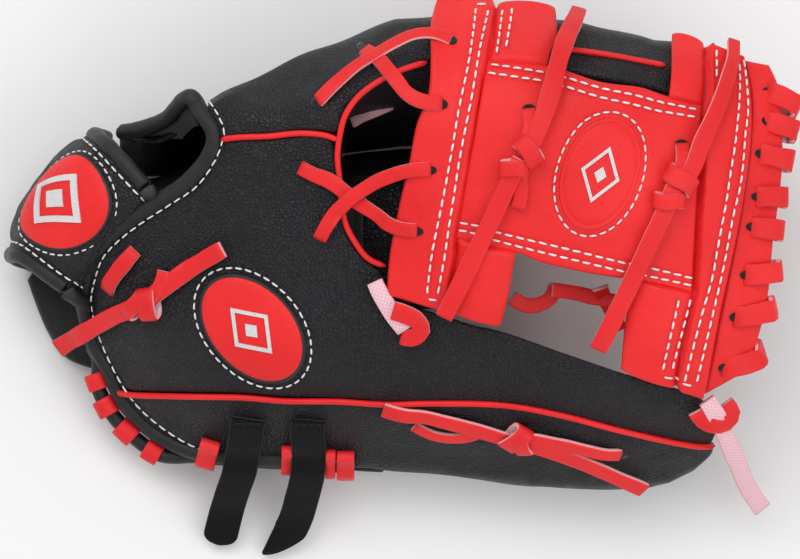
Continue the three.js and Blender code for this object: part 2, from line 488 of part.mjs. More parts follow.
// Disc-like body from rings of points round a middle point.
function patchSolid(rings, mid, t, outPoint) {
  const n = rings[0].length - 1, R = rings.length, pos = [];
  const out = outPoint.clone().sub(mid).normalize();
  const push = (p) => pos.push(p.x, p.y, p.z) / 3 - 1;
  const top = [], bot = [];
  for (let r = 1; r < R; r++) { top.push([]); bot.push([]); for (let k = 0; k < n; k++) {
    const p = rings[r][k];
    const dk = rings[r][(k + 1) % n].clone().sub(rings[r][(k - 1 + n) % n]), dr = rings[r][k].clone().sub(rings[r - 1][k]);
    let nn = dk.cross(dr).normalize(); if (nn.dot(out) < 0) nn.negate();
    top[r - 1].push(push(p)); bot[r - 1].push(push(p.clone().addScaledVector(nn, -t)));
  } }
  const ct = push(mid), cb = push(mid.clone().addScaledVector(out, -t)), idx = [];
  for (let k = 0; k < n; k++) {
    const l = (k + 1) % n;
    idx.push(ct, top[0][k], top[0][l], cb, bot[0][l], bot[0][k]);
    for (let r = 0; r < R - 2; r++) {
      idx.push(top[r][k], top[r + 1][k], top[r + 1][l], top[r][k], top[r + 1][l], top[r][l]);
      idx.push(bot[r][k], bot[r + 1][l], bot[r + 1][k], bot[r][k], bot[r][l], bot[r + 1][l]);
    }
    idx.push(top[R - 2][k], bot[R - 2][k], bot[R - 2][l], top[R - 2][k], bot[R - 2][l], top[R - 2][l]);
  }
  const g = new THREE.BufferGeometry();
  g.setAttribute('position', new THREE.Float32BufferAttribute(pos, 3));
  g.setIndex(idx);
  return faceOut(g);
}
function ellipsePatch(ca, cb, ra, rb, tilt, off, t) {
  const g = [], n = 24, ct = Math.cos(tilt), st = Math.sin(tilt);
  for (const q of [0.01, 0.4, 0.75, 1]) {
    const row = [];
    for (let k = 0; k <= n; k++) {
      const p = k / n * 2 * Math.PI, u = ra * q * Math.cos(p), v = rb * q * Math.sin(p);
      row.push(at(ca + u * ct - v * st, cb + u * st + v * ct, off));
    }
    g.push(row);
  }
  return patchSolid(g, at(ca, cb, off), t, at(ca, cb, off + 5));
}
part('thumb_patch', ellipsePatch(253, 328, 58, 45, 0.66, 2.0, 1.2), RED, 0.45);
// heel of the palm under the wrist entry, lined
{
  const A = [[22, 280, 3.4], [30, 303, 4], [43, 334, 5], [60, 358, 7], [92, 371, 9.5]], B = [[104, 150, 3], [108, 200, 5], [112, 250, 9], [118, 300, 12], [120, 345, 12.5]];
  const fa = along(smooth(A, 16)), fb = along(smooth(B, 16)), g = [];
  for (let i = 0; i <= 8; i++) { const row = []; for (let j = 0; j <= 5; j++) {
    const p = fa(i / 8), q = fb(i / 8), u = j / 5;
    row.push(V(gx(p[0] + (q[0] - p[0]) * u), gy(p[1] + (q[1] - p[1]) * u), p[2] + (q[2] - p[2]) * u + OZ));
  } g.push(row); }
  part('wrist_lining', sheetDown(g, 2.4), 0x39393c, 0.9);
}
// ---------------------------------------------------------------- piping cords
part('upper_piping', cordOn(smooth(UPPER_SEAM.slice(0), 12), PIPING_R, 12, 0.3), RED, 0.45);
part('crotch_piping', cordOn(smooth(CROTCH, 20), PIPING_R, 20, 0.2), RED, 0.45);
part('heel_side_piping', cordOn(smooth([[122, 394.5], [180, 396.5], [244, 397.6], [284, 400.8], [339, 401.4], [380, 404]], 16), PIPING_R, 16, 0.3), RED, 0.45);
part('thumb_piping', cordOn(smooth([[TX0, 404.2], [427, 403.2], [504, 405], [561, 415], [619, 430], [677, 443], [702, 446.6], [716, 446]], 20), PIPING_R, 20, 0.3), RED, 0.45);
part('index_piping', cordOn([[560, 52], [576, 53], [604, 57], [640, 63.5], [661, 67]], PIPING_R, 8, 1.4), RED, 0.45);
// ---------------------------------------------------------------- web
const ROLL = (b) => 0;
part('web_cross_panel', drape(smooth([[470, 66], [544, 76], [600, 87], [640, 92], [672, 99], [690, 104]], 16), smooth([[452, 232], [489, 243], [517, 251], [564, 262], [600, 274], [636, 279], [668, 286]], 16), 10, 6, 2.4, WEB_T), RED, 0.42);
part('web_patch', ellipsePatch(597, 174, 60, 41, -1.25, 3.9, 1.1), RED, 0.42);
part('web_near_post', drape(smooth(NEAR_L, 24), smooth(NEAR_R, 24), 13, 5, 5.6, WEB_T + 0.4), RED, 0.42);
part('web_far_post', drape(smooth(FAR_L, 24), smooth(FAR_R, 24), 13, 4, 5.6, WEB_T + 0.4), RED, 0.42);
part('outer_lacing_strip', drape(smooth(FAR_R.map(([a, b]) => [a + 2, b]), 24), smooth(STRIP_R, 24), 12, 3, 3.0, WEB_T + 1), RED, 0.42);
// ---------------------------------------------------------------- laces
// Lace with a knot: two tails and a rounded knot in one body.
function knotLace(tails, knot, r, off, w = LACE_W) {
  const gs = tails.map((t, i) => laceOn(t, Math.max(4, Math.round(t.length * 2.2)), off + i * 0.9, w));
  const g = new THREE.SphereGeometry(1, 10, 6);
  const c = at(knot[0], knot[1], off + r[2] * 0.6);
  g.scale(r[0], r[1], r[2]);
  g.translate(c.x, c.y, c.z);
  return join(...gs, g);
}
part('web_knot_lace_a', knotLace([[[575, 20], [559, 62], [545, 110], [524, 152]], [[524, 150], [511, 178], [489, 223], [468, 266], [449, 309]]], [522, 152], [7.2, 7, 3.6], 6.2), LACE, 0.45);
part('web_knot_lace_b', knotLace([[[726, 55], [710, 100], [688, 160], [670, 186]], [[670, 184], [660, 210], [640, 250], [620, 300], [598, 340]]], [670, 186], [7.6, 7, 3.6], 6.2), LACE, 0.45);
const crossLace = (p, n, off) => laceOn(p, n, off, CROSS_LACE_W, 1.5);
part('crotch_lace_1', crossLace([[320, 101], [346, 83], [379, 64], [412, 52], [428, 50]], 8, 1.7), LACE, 0.45);
part('crotch_lace_2', crossLace([[370, 52], [389, 76], [404, 96], [418, 105]], 6, 3.6), LACE, 0.45);
part('crotch_lace_3', crossLace([[302, 168], [330, 182], [353, 198], [379, 211], [400, 222]], 8, 1.7), LACE, 0.45);
part('crotch_lace_4', crossLace([[321, 238], [336, 218], [354, 199], [379, 181], [402, 171]], 8, 3.6), LACE, 0.45);
part('wrist_knot_lace', knotLace([[[60, 344], [85, 333], [115, 318], [142, 308]], [[142, 308], [160, 290], [190, 268], [227, 249]]], [143, 306], [7.8, 7, 4], 0.7), LACE, 0.45);
part('thumb_knot_lace', knotLace([[[386, 406], [420, 418], [460, 430], [508, 434]], [[508, 434], [545, 440], [590, 462], [642, 482]]], [514, 433], [7, 6.6, 3.8], 1.9), LACE, 0.45);
part('wrist_slot_lace', laceOn([[110, 252], [124, 268], [139, 286]], 4, 0.7), LACE, 0.45);
part('web_base_lace', join(laceOn([[374, 279], [388, 300], [404, 322], [412, 331]], 6, 1.9), laceOn([[402, 303], [416, 320], [430, 334]], 4, 2.6)), LACE, 0.45);
// thumb-tip lace: a loop over the tip and a tail that runs off it
{
  const tail = smooth([[706, 408, 64], [722, 434, 56], [738, 462, 44], [752, 488, 30], [766, 511, 16]], 9).map(([a, b, z]) => V(gx(a), gy(b), z + OZ));
  const n = V(0.35, -0.45, 0.8).normalize();
  part('thumb_tip_lace', ribbon(tail, LACE_W, LACE_T, (i, T) => n.clone().cross(T)), LACE, 0.45);
}
// lace along the outer edge: eight loops round the strip's edge, joined by the lace that runs under the strip
{
  const loops = [[767, 97, 798, 112], [764, 124, 797, 134], [757, 155, 793, 162], [753, 197, 787, 198], [748, 227, 783, 231], [743, 274, 782, 270], [733, 315, 776, 306], [722, 363, 764, 349]];
  const gs = [];
  for (const [a0, b0, a1, b1] of loops) {
    const f = (t) => [a0 + (a1 - a0) * t, b0 + (b1 - b0) * t], d = V(a1 - a0, -(b1 - b0), 0).normalize();
    const side = V(-d.y, d.x, 0), up = (t, o) => at(...f(t), o);
    const e = f(1), top = at(...f(0.78), 0).z;
    const pts = [up(0.02, 5.3), up(0.4, 5.6), up(0.72, 5.2), V(gx(e[0]) - 1.9, gy(e[1]), top + 2.2), V(gx(e[0]) - 0.9, gy(e[1]), top - 2.0), V(gx(e[0]) - 2.8, gy(e[1]), top - 6.0), up(0.62, -3.4), up(0.3, -2.2), up(0.02, -2.0)];
    gs.push(ribbon(pts, LACE_W, LACE_T, () => side));
  }
  const spine = laceOn(loops.map(([a, b, c, d]) => [a + 9, b + (d - b) * 0.25]), 16, -3.2, 5, 1.8);
  part('web_edge_lace', join(spine, ...gs), LACE, 0.45);
}
// heel lace: loops over the heel binding, joined by the run inside the heel
{
  const loops = [[96, 383], [105, 408], [124, 432], [152, 450], [204, 468], [286, 475], [329, 477], [344, 478]];
  const spine = [[117, 358], [124, 372], [136, 390], [157, 414], [183, 432], [208, 442], [240, 445], [300, 448.5], [350, 451]];
  const zs = 7.6, sp = smooth(spine, 14).map(([a, b]) => V(gx(a), gy(b), zs + OZ));
  const gs = [ribbon(sp, 4.6, 1.7, () => V(0, 0, 1))];
  const fe = along(spine), he = along(HEEL_EDGE);
  const near = (f, a, b) => { let best = null; for (let i = 0; i <= 160; i++) { const p = f(i / 160), d = (p[0] - a) ** 2 + (p[1] - b) ** 2; if (!best || d < best[0]) best = [d, p]; } return best[1]; };
  for (const [a, b] of loops) {
    const P = near(fe, a, b), E = near(he, a, b), p0 = V(gx(P[0]), gy(P[1]), 0), e0 = V(gx(E[0]), gy(E[1]), 0);
    const out = e0.clone().sub(p0), D = out.length(), ze = H(E[0], E[1]) - OZ;
    out.normalize();
    const tan = V(-out.y, out.x, 0), m = (d, z) => V(p0.x + out.x * d, p0.y + out.y * d, z + OZ);
    const q = m(D - 4.6, 0), zi = H((q.x - OX) / GRID + 400, 279.5 - (q.y - OY) / GRID) - OZ;
    gs.push(ribbon([m(-0.4, zs), m(D - 1, zs - 0.6), m(D + 2.4, zs + 0.4), m(D + 3.7, zs + 4), m(D + 3.9, ze - 3.5), m(D + 2.6, ze + 0.6), m(D, ze + 1.9), m(D - 4.6, zi + 1.5)], 4.8, 1.5, () => tan));
  }
  part('heel_lace', join(...gs), LACE, 0.45);
}
// lace along the finger tips' palm edge
part('finger_lace', ribbon([V(96, 62, 76), V(104, 60, 62), V(106, 57, 46), V(102, 53, 30), V(94, 49, 15), V(84, 47, 6)].map((p) => V(p.x, p.y - 4.2, p.z + OZ)), 5, LACE_T, () => V(1, 0, 0)), LACE, 0.45);
// ---------------------------------------------------------------- inside loops
part('little_finger_loop', cord([V(-20, 38, 45), V(-20, 31, 52), V(-20, 22, 54), V(-20, 13, 51)].map((p) => V(p.x, p.y, p.z + OZ)), 1.6, 8), BIND, 0.7);
part('thumb_loop', cord([V(-20, -22, 46), V(-20, -30, 51), V(-20, -37, 48), V(-20, -43, 42)].map((p) => V(p.x, p.y, p.z + OZ)), 1.6, 8), BIND, 0.7);
// ---------------------------------------------------------------- elastic pull straps
function pull(a, b, pts) {
  const P = smooth(pts, 14).map(([x, y, z]) => V(gx(x), gy(y), z + OZ));
  return ribbon(P, ELASTIC_W, ELASTIC_T, (i, T) => V(1, 0, 0).addScaledVector(V(0, 1, 0), -T.x / (T.y || 1) * 0 ));
}
const STRAP_A = [[248, 420, 45.5], [245, 440, 37.5], [241, 458, 31.5], [238, 474, 27.5], [231, 494, 20], [224, 516, 11], [216, 545, 3.2]];
const STRAP_B = [[308, 421, 47], [307, 440, 39.5], [308, 458, 33.5], [307, 475, 29.5], [301, 500, 20], [293, 525, 10.5], [276, 552, 3]];
part('pull_strap_a', pull(0, 0, STRAP_A), ELASTIC, 0.85);
part('pull_strap_b', pull(0, 0, STRAP_B), ELASTIC, 0.85);

// ---------------------------------------------------------------- clearances
// Pieces made earlier keep their shape; later ones are relieved by GAP where they would touch.
const FIRST = ['wrist_opening_binding', 'heel_lace', 'thumb_base_back_panel'];
function grown(g, d) {
  let h = g.clone();
  h.deleteAttribute('normal');
  h = mergeVertices(h, 1e-4);
  h.computeVertexNormals();
  const p = h.attributes.position, n = h.attributes.normal;
  for (let i = 0; i < p.count; i++) p.setXYZ(i, p.getX(i) + n.getX(i) * d, p.getY(i) + n.getY(i) * d, p.getZ(i) + n.getZ(i) * d);
  return h;
}
const boxOf = (g) => { g.computeBoundingBox(); return g.boundingBox.clone().expandByScalar(0.5); };
// The ground edges are pressed flat.
const ground = new THREE.BoxGeometry(400, 300, 20);
ground.translate(0, 0, -10);
for (const m of group.children) if (boxOf(m.geometry).min.z < 0.55) {
  if (m.geometry.boundingBox.min.z < -1e-3) m.geometry = cut(m.geometry, ground);
}
const meshes = [...FIRST.map((n) => group.getObjectByName(n)), ...group.children.filter((m) => !FIRST.includes(m.name))];
for (let i = 1; i < meshes.length; i++) {
  let s = null;
  for (let j = 0; j < i; j++) {
    if (!boxOf(meshes[i].geometry).intersectsBox(boxOf(meshes[j].geometry))) continue;
    const t = solid(grown(meshes[j].geometry, GAP)), me = s ?? solid(meshes[i].geometry);
    if (me.intersect(t).volume() > 1e-3) s = me.subtract(t);
  }
  if (s) {
    const bodies = s.decompose().sort((a, b) => b.volume() - a.volume());
    const lost = bodies.slice(1).reduce((v, b) => v + b.volume(), 0);
    if (lost > 3) console.log('relief', meshes[i].name, 'keeps', bodies[0].volume().toFixed(0), 'drops', lost.toFixed(1));
    meshes[i].geometry = fromSolid(bodies[0]);
  }
}

export default group;
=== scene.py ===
import bpy
import math
import numpy as np
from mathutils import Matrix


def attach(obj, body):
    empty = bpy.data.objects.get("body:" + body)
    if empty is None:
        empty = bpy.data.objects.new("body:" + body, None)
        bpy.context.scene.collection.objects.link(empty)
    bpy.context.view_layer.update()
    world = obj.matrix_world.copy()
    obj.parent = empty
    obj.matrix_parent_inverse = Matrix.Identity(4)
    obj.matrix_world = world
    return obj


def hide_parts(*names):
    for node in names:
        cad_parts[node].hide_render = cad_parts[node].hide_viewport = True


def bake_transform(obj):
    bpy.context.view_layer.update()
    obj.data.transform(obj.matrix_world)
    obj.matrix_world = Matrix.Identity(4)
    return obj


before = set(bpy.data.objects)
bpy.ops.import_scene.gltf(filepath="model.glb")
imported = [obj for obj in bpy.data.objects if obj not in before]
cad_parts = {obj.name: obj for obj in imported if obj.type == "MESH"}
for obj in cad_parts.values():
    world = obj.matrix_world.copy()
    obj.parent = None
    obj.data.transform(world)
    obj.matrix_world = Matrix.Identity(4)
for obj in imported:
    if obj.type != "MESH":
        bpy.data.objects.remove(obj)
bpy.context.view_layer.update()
D = bpy.data

# ------------------------------------------------------------------ layout grid and the upper form (as in the CAD)
GRID, OX, OY = 0.36, -0.5, 0.32
FORM = np.array([
    [80, 300, 34], [95, 262, 48], [130, 222, 58], [187, 188, 67], [214, 143, 72], [197, 101, 67],
    [85, 345, 25], [105, 390, 19], [142, 430, 18], [173, 452, 19], [203, 462, 21], [280, 470, 23], [355, 474, 25],
    [124, 394, 30], [180, 396, 43], [244, 397, 50], [284, 400, 52], [339, 401, 54], [386, 404, 57], [427, 403, 59],
    [504, 405, 60], [561, 415, 60], [619, 430, 56], [677, 443, 50], [702, 447, 47], [718, 445, 43],
    [140, 330, 50], [180, 270, 62], [253, 328, 66], [253, 260, 72], [320, 330, 69], [320, 250, 76], [250, 190, 76],
    [320, 180, 80], [224, 139, 75], [270, 137, 79], [338, 140, 83], [250, 105, 75], [263, 82, 63], [313, 100, 83],
    [313, 60, 67], [360, 80, 86], [354, 42, 68], [396, 60, 87], [396, 28, 70], [436, 90, 90], [436, 24, 71],
    [520, 75, 91], [520, 26, 72], [600, 75, 89], [600, 36, 70], [660, 80, 85], [660, 46, 69], [700, 100, 81],
    [705, 52, 68], [740, 75, 66], [440, 160, 90], [440, 250, 84], [430, 300, 77], [470, 318, 76], [560, 100, 92],
    [560, 180, 92], [560, 240, 88], [597, 174, 91], [650, 120, 88], [650, 200, 88], [650, 270, 84], [720, 150, 82],
    [715, 220, 82], [700, 300, 79], [690, 370, 73], [770, 90, 68], [775, 180, 71], [768, 260, 72], [755, 340, 69],
    [389, 296, 74], [500, 327, 75], [560, 350, 74], [618, 369, 72], [700, 395, 65], [715, 420, 55],
    [427, 473, 31], [485, 480, 31], [533, 487, 31], [580, 489, 31], [647, 489, 31], [671, 484, 32], [696, 471, 34],
    [712, 457, 36], [385, 180, 86], [385, 240, 79], [350, 200, 81]], float)
_S = 0.01


def _k(r2):
    r2 = np.maximum(r2, 1e-12)
    return 0.5 * r2 * np.log(r2)


def _fit():
    q = FORM[:, :2] * _S
    n = len(q)
    A = np.zeros((n + 3, n + 3))
    A[:n, :n] = _k(((q[:, None] - q[None]) ** 2).sum(-1))
    A[np.arange(n), np.arange(n)] = 0.02
    A[:n, n] = A[n, :n] = 1
    A[:n, n + 1:] = q
    A[n + 1:, :n] = q.T
    return q, np.linalg.solve(A, np.r_[FORM[:, 2], 0, 0, 0])


_Q, _W = _fit()


def H(a, b):
    a, b = np.asarray(a, float), np.asarray(b, float)
    sh = a.shape
    p = np.stack([a.ravel(), b.ravel()], -1) * _S
    out = np.empty(len(p))
    for i in range(0, len(p), 20000):
        c = p[i:i + 20000]
        out[i:i + 20000] = _k(((c[:, None] - _Q[None]) ** 2).sum(-1)) @ _W[:-3] + _W[-3] + c @ _W[-2:]
    return out.reshape(sh)


def gx(a): return (np.asarray(a, float) - 400) * GRID + OX
def gy(b): return (279.5 - np.asarray(b, float)) * GRID + OY
def ga(x): return (np.asarray(x, float) - OX) / GRID + 400
def gb(y): return 279.5 - (np.asarray(y, float) - OY) / GRID


def normal_at(a, b):
    e = 1.5
    dx = (H(a + e, b) - H(a - e, b)) / (2 * e * GRID)
    dy = -(H(a, b + e) - H(a, b - e)) / (2 * e * GRID)
    n = np.stack([-dx, -dy, np.ones_like(dx)], -1)
    return n / np.linalg.norm(n, axis=-1, keepdims=True)


def at(a, b, off=0.0):
    a, b = np.asarray(a, float), np.asarray(b, float)
    p = np.stack([gx(a), gy(b), H(a, b)], -1)
    return p + normal_at(a, b) * (np.asarray(off)[..., None] if np.ndim(off) else off)


def spline(pts, n, dense=24):
    """Even-length samples on a smooth curve through the points."""
    p = np.array([list(map(float, q)) for q in pts])
    if len(p) == 2:
        t = np.linspace(0, 1, n + 1)[:, None]
        return p[0] * (1 - t) + p[1] * t
    s = np.r_[0, np.cumsum(np.maximum(np.linalg.norm(np.diff(p, axis=0), axis=1), 1e-9) ** 0.5)]
    m = np.empty_like(p)
    d = np.diff(p, axis=0) / np.diff(s)[:, None]
    h = np.diff(s)
    m[1:-1] = (d[:-1] * h[1:, None] + d[1:] * h[:-1, None]) / (h[1:] + h[:-1])[:, None]
    m[0], m[-1] = d[0] * 1.5 - m[1] * 0.5, d[-1] * 1.5 - m[-2] * 0.5
    out = []
    for i in range(len(p) - 1):
        u = np.linspace(0, 1, dense, endpoint=False)[:, None]
        H0, H1, H2, H3 = 2*u**3 - 3*u**2 + 1, u**3 - 2*u**2 + u, -2*u**3 + 3*u**2, u**3 - u**2
        out.append(H0 * p[i] + H1 * h[i] * m[i] + H2 * p[i + 1] + H3 * h[i] * m[i + 1])
    c = np.vstack(out + [p[-1:]])
    return resample(c, n)


def resample(c, n):
    L = np.r_[0, np.cumsum(np.linalg.norm(np.diff(c, axis=0), axis=1))]
    t = np.linspace(0, L[-1], n + 1)
    return np.stack([np.interp(t, L, c[:, k]) for k in range(c.shape[1])], -1)


def length(c):
    return float(np.linalg.norm(np.diff(c, axis=0), axis=1).sum())


def y_at(table, x):
    t = np.array(table, float)
    return np.interp(x, t[:, 0], t[:, 1])


def wob(p, scale, seed=0):
    """Smooth noise about -1..1 at points in mm."""
    r = np.random.RandomState(seed + 11)
    out = np.zeros(p.shape[:-1])
    for k in range(6):
        w = r.normal(size=3)
        w *= (0.7 + 0.9 * r.rand()) * 2 * math.pi / scale / np.linalg.norm(w)
        out += np.sin(p @ w + r.rand() * 6.28)
    return out / 3.0


# ------------------------------------------------------------------ materials
def _new(name):
    m = D.materials.new(name)
    m.use_nodes = True
    nt = m.node_tree
    return m, nt, nt.nodes["Principled BSDF"]


def _n(nt, kind, **kw):
    n = nt.nodes.new(kind)
    for k, v in kw.items():
        if k.startswith("in_"):
            n.inputs[k[3:].replace("_", " ")].default_value = v
        else:
            setattr(n, k, v)
    return n


def _ramp(nt, src, stops):
    r = nt.nodes.new("ShaderNodeValToRGB")
    while len(r.color_ramp.elements) < len(stops):
        r.color_ramp.elements.new(0.5)
    for e, (pos, col) in zip(r.color_ramp.elements, stops):
        e.position = pos
        e.color = (*col, 1) if len(col) == 3 else col
    nt.links.new(src, r.inputs[0])
    return r


def leather(name, dark, mid, light, rough=(0.42, 0.6), cell=1050, depth=0.00022, wrinkle=0.25, spec=0.5, edge=0.0, valley_f=0.45, fine_f=0.5):
    """Grained leather: cells with valleys, broad tone changes, fine wrinkles."""
    m, nt, bs = _new(name)
    L = nt.links
    tc = nt.nodes.new("ShaderNodeTexCoord")
    warp = _n(nt, "ShaderNodeTexNoise", in_Scale=260.0, in_Detail=2.0)
    L.new(tc.outputs["Object"], warp.inputs["Vector"])
    mixv = _n(nt, "ShaderNodeMix", data_type="VECTOR")
    mixv.inputs[0].default_value = 0.0012
    L.new(tc.outputs["Object"], mixv.inputs[4])
    L.new(warp.outputs["Color"], mixv.inputs[5])
    vo = _n(nt, "ShaderNodeTexVoronoi", feature="DISTANCE_TO_EDGE", in_Scale=float(cell))
    L.new(mixv.outputs[1], vo.inputs["Vector"])
    cells = _ramp(nt, vo.outputs["Distance"], [(0.0, (0, 0, 0)), (0.16, (0.75, 0.75, 0.75)), (0.45, (1, 1, 1))])
    fine = _n(nt, "ShaderNodeTexNoise", in_Scale=2600.0, in_Detail=3.0, in_Roughness=0.6)
    L.new(tc.outputs["Object"], fine.inputs["Vector"])
    wr = _n(nt, "ShaderNodeTexNoise", in_Scale=130.0, in_Detail=6.0, in_Roughness=0.62, in_Distortion=0.6)
    L.new(tc.outputs["Object"], wr.inputs["Vector"])
    broad = _n(nt, "ShaderNodeTexNoise", in_Scale=22.0, in_Detail=3.0)
    L.new(tc.outputs["Object"], broad.inputs["Vector"])
    tone = _ramp(nt, broad.outputs["Fac"], [(0.3, dark), (0.52, mid), (0.74, light)])
    valley = _n(nt, "ShaderNodeMix", data_type="RGBA", blend_type="MULTIPLY")
    valley.inputs[0].default_value = valley_f
    L.new(tone.outputs[0], valley.inputs[6])
    L.new(cells.outputs[0], valley.inputs[7])
    src = valley.outputs[2]
    if edge:
        geo = nt.nodes.new("ShaderNodeNewGeometry")
        pr = _ramp(nt, geo.outputs["Pointiness"], [(0.515, (0, 0, 0)), (0.60, (1, 1, 1))])
        br = _n(nt, "ShaderNodeMath", operation="MULTIPLY")
        br.inputs[1].default_value = edge
        L.new(pr.outputs[0], br.inputs[0])
        em = _n(nt, "ShaderNodeMix", data_type="RGBA")
        em.inputs[7].default_value = (*[min(1, c * 1.9 + 0.03) for c in light], 1)
        L.new(br.outputs[0], em.inputs[0])
        L.new(src, em.inputs[6])
        src = em.outputs[2]
    L.new(src, bs.inputs["Base Color"])
    rr = _n(nt, "ShaderNodeMapRange", in_From_Min=0.3, in_From_Max=0.7, in_To_Min=rough[0], in_To_Max=rough[1])
    L.new(wr.outputs["Fac"], rr.inputs["Value"])
    L.new(rr.outputs[0], bs.inputs["Roughness"])
    bs.inputs["Specular IOR Level"].default_value = spec
    b1 = _n(nt, "ShaderNodeBump", in_Strength=0.9, in_Distance=depth)
    L.new(cells.outputs[0], b1.inputs["Height"])
    b2 = _n(nt, "ShaderNodeBump", in_Strength=fine_f, in_Distance=0.00008)
    L.new(fine.outputs["Fac"], b2.inputs["Height"])
    L.new(b1.outputs[0], b2.inputs["Normal"])
    b3 = _n(nt, "ShaderNodeBump", in_Strength=wrinkle, in_Distance=0.0012)
    L.new(wr.outputs["Fac"], b3.inputs["Height"])
    L.new(b2.outputs[0], b3.inputs["Normal"])
    L.new(b3.outputs[0], bs.inputs["Normal"])
    return m


def suede(name, base, line, hatch=0.0):
    """Raw flesh side of a lace: nap, and a faint pressed cross-hatch."""
    m, nt, bs = _new(name)
    L = nt.links
    tc = nt.nodes.new("ShaderNodeTexCoord")
    nap = _n(nt, "ShaderNodeTexNoise", in_Scale=1700.0, in_Detail=5.0, in_Roughness=0.7)
    L.new(tc.outputs["Object"], nap.inputs["Vector"])
    col = _ramp(nt, nap.outputs["Fac"], [(0.3, line), (0.7, base)])
    src = col.outputs[0]
    h = nap.outputs["Fac"]
    if hatch:
        uv = nt.nodes.new("ShaderNodeUVMap")
        mx = None
        for ang in (0.78, -0.78):
            mp = nt.nodes.new("ShaderNodeMapping")
            mp.inputs["Rotation"].default_value = (0, 0, ang)
            L.new(uv.outputs[0], mp.inputs[0])
            w = _n(nt, "ShaderNodeTexWave", in_Scale=hatch, in_Distortion=0.4, in_Detail=1.0)
            L.new(mp.outputs[0], w.inputs["Vector"])
            if mx is None:
                mx = w.outputs["Fac"]
            else:
                mm = _n(nt, "ShaderNodeMath", operation="MAXIMUM")
                L.new(mx, mm.inputs[0])
                L.new(w.outputs["Fac"], mm.inputs[1])
                mx = mm.outputs[0]
        rp = _ramp(nt, mx, [(0.72, (0, 0, 0)), (0.98, (1, 1, 1))])
        mix = _n(nt, "ShaderNodeMix", data_type="RGBA")
        L.new(rp.outputs[0], mix.inputs[0])
        L.new(src, mix.inputs[6])
        mix.inputs[7].default_value = (0.85, 0.35, 0.42, 1)
        src = mix.outputs[2]
    L.new(src, bs.inputs["Base Color"])
    bs.inputs["Roughness"].default_value = 0.9
    bs.inputs["Specular IOR Level"].default_value = 0.2
    b = _n(nt, "ShaderNodeBump", in_Strength=0.6, in_Distance=0.00015)
    L.new(h, b.inputs["Height"])
    L.new(b.outputs[0], bs.inputs["Normal"])
    return m


def thread(name, col):
    m, nt, bs = _new(name)
    L = nt.links
    tc = nt.nodes.new("ShaderNodeTexCoord")
    uv = nt.nodes.new("ShaderNodeUVMap")
    w = _n(nt, "ShaderNodeTexWave", in_Scale=1.0, in_Distortion=0.0, bands_direction="DIAGONAL")
    mp = nt.nodes.new("ShaderNodeMapping")
    mp.inputs["Scale"].default_value = (2.2, 2.0, 1)
    L.new(uv.outputs[0], mp.inputs[0])
    L.new(mp.outputs[0], w.inputs["Vector"])
    nz = _n(nt, "ShaderNodeTexNoise", in_Scale=4000.0, in_Detail=3.0)
    L.new(tc.outputs["Object"], nz.inputs["Vector"])
    r = _ramp(nt, nz.outputs["Fac"], [(0.3, tuple(c * 0.82 for c in col)), (0.65, col)])
    L.new(r.outputs[0], bs.inputs["Base Color"])
    bs.inputs["Roughness"].default_value = 0.62
    b = _n(nt, "ShaderNodeBump", in_Strength=0.6, in_Distance=0.0001)
    L.new(w.outputs["Fac"], b.inputs["Height"])
    L.new(b.outputs[0], bs.inputs["Normal"])
    return m


def ribbed(name, col, col2):
    """Woven elastic: ribs along the length, picks across, from the strip's own uv in metres."""
    m, nt, bs = _new(name)
    L = nt.links
    uv = nt.nodes.new("ShaderNodeUVMap")
    w1 = _n(nt, "ShaderNodeTexWave", in_Scale=300.0, bands_direction="X")
    w2 = _n(nt, "ShaderNodeTexWave", in_Scale=420.0, in_Distortion=0.6, bands_direction="Y")
    L.new(uv.outputs[0], w1.inputs["Vector"])
    L.new(uv.outputs[0], w2.inputs["Vector"])
    mu = _n(nt, "ShaderNodeMath", operation="MULTIPLY")
    L.new(w1.outputs["Fac"], mu.inputs[0])
    L.new(w2.outputs["Fac"], mu.inputs[1])
    ad = _n(nt, "ShaderNodeMath", operation="ADD")
    L.new(mu.outputs[0], ad.inputs[0])
    L.new(w1.outputs["Fac"], ad.inputs[1])
    r = _ramp(nt, ad.outputs[0], [(0.15, col), (0.95, col2)])
    L.new(r.outputs[0], bs.inputs["Base Color"])
    bs.inputs["Roughness"].default_value = 0.8
    bs.inputs["Sheen Weight"].default_value = 0.08
    bs.inputs["Specular IOR Level"].default_value = 0.1
    b = _n(nt, "ShaderNodeBump", in_Strength=0.6, in_Distance=0.00018)
    L.new(ad.outputs[0], b.inputs["Height"])
    L.new(b.outputs[0], bs.inputs["Normal"])
    return m


def felt(name, a, b_):
    m, nt, bs = _new(name)
    L = nt.links
    tc = nt.nodes.new("ShaderNodeTexCoord")
    n1 = _n(nt, "ShaderNodeTexNoise", in_Scale=900.0, in_Detail=6.0, in_Roughness=0.75)
    L.new(tc.outputs["Object"], n1.inputs["Vector"])
    r = _ramp(nt, n1.outputs["Fac"], [(0.3, a), (0.7, b_)])
    L.new(r.outputs[0], bs.inputs["Base Color"])
    bs.inputs["Roughness"].default_value = 0.95
    bs.inputs["Sheen Weight"].default_value = 0.25
    b = _n(nt, "ShaderNodeBump", in_Strength=0.8, in_Distance=0.0003)
    L.new(n1.outputs["Fac"], b.inputs["Height"])
    L.new(b.outputs[0], bs.inputs["Normal"])
    return m


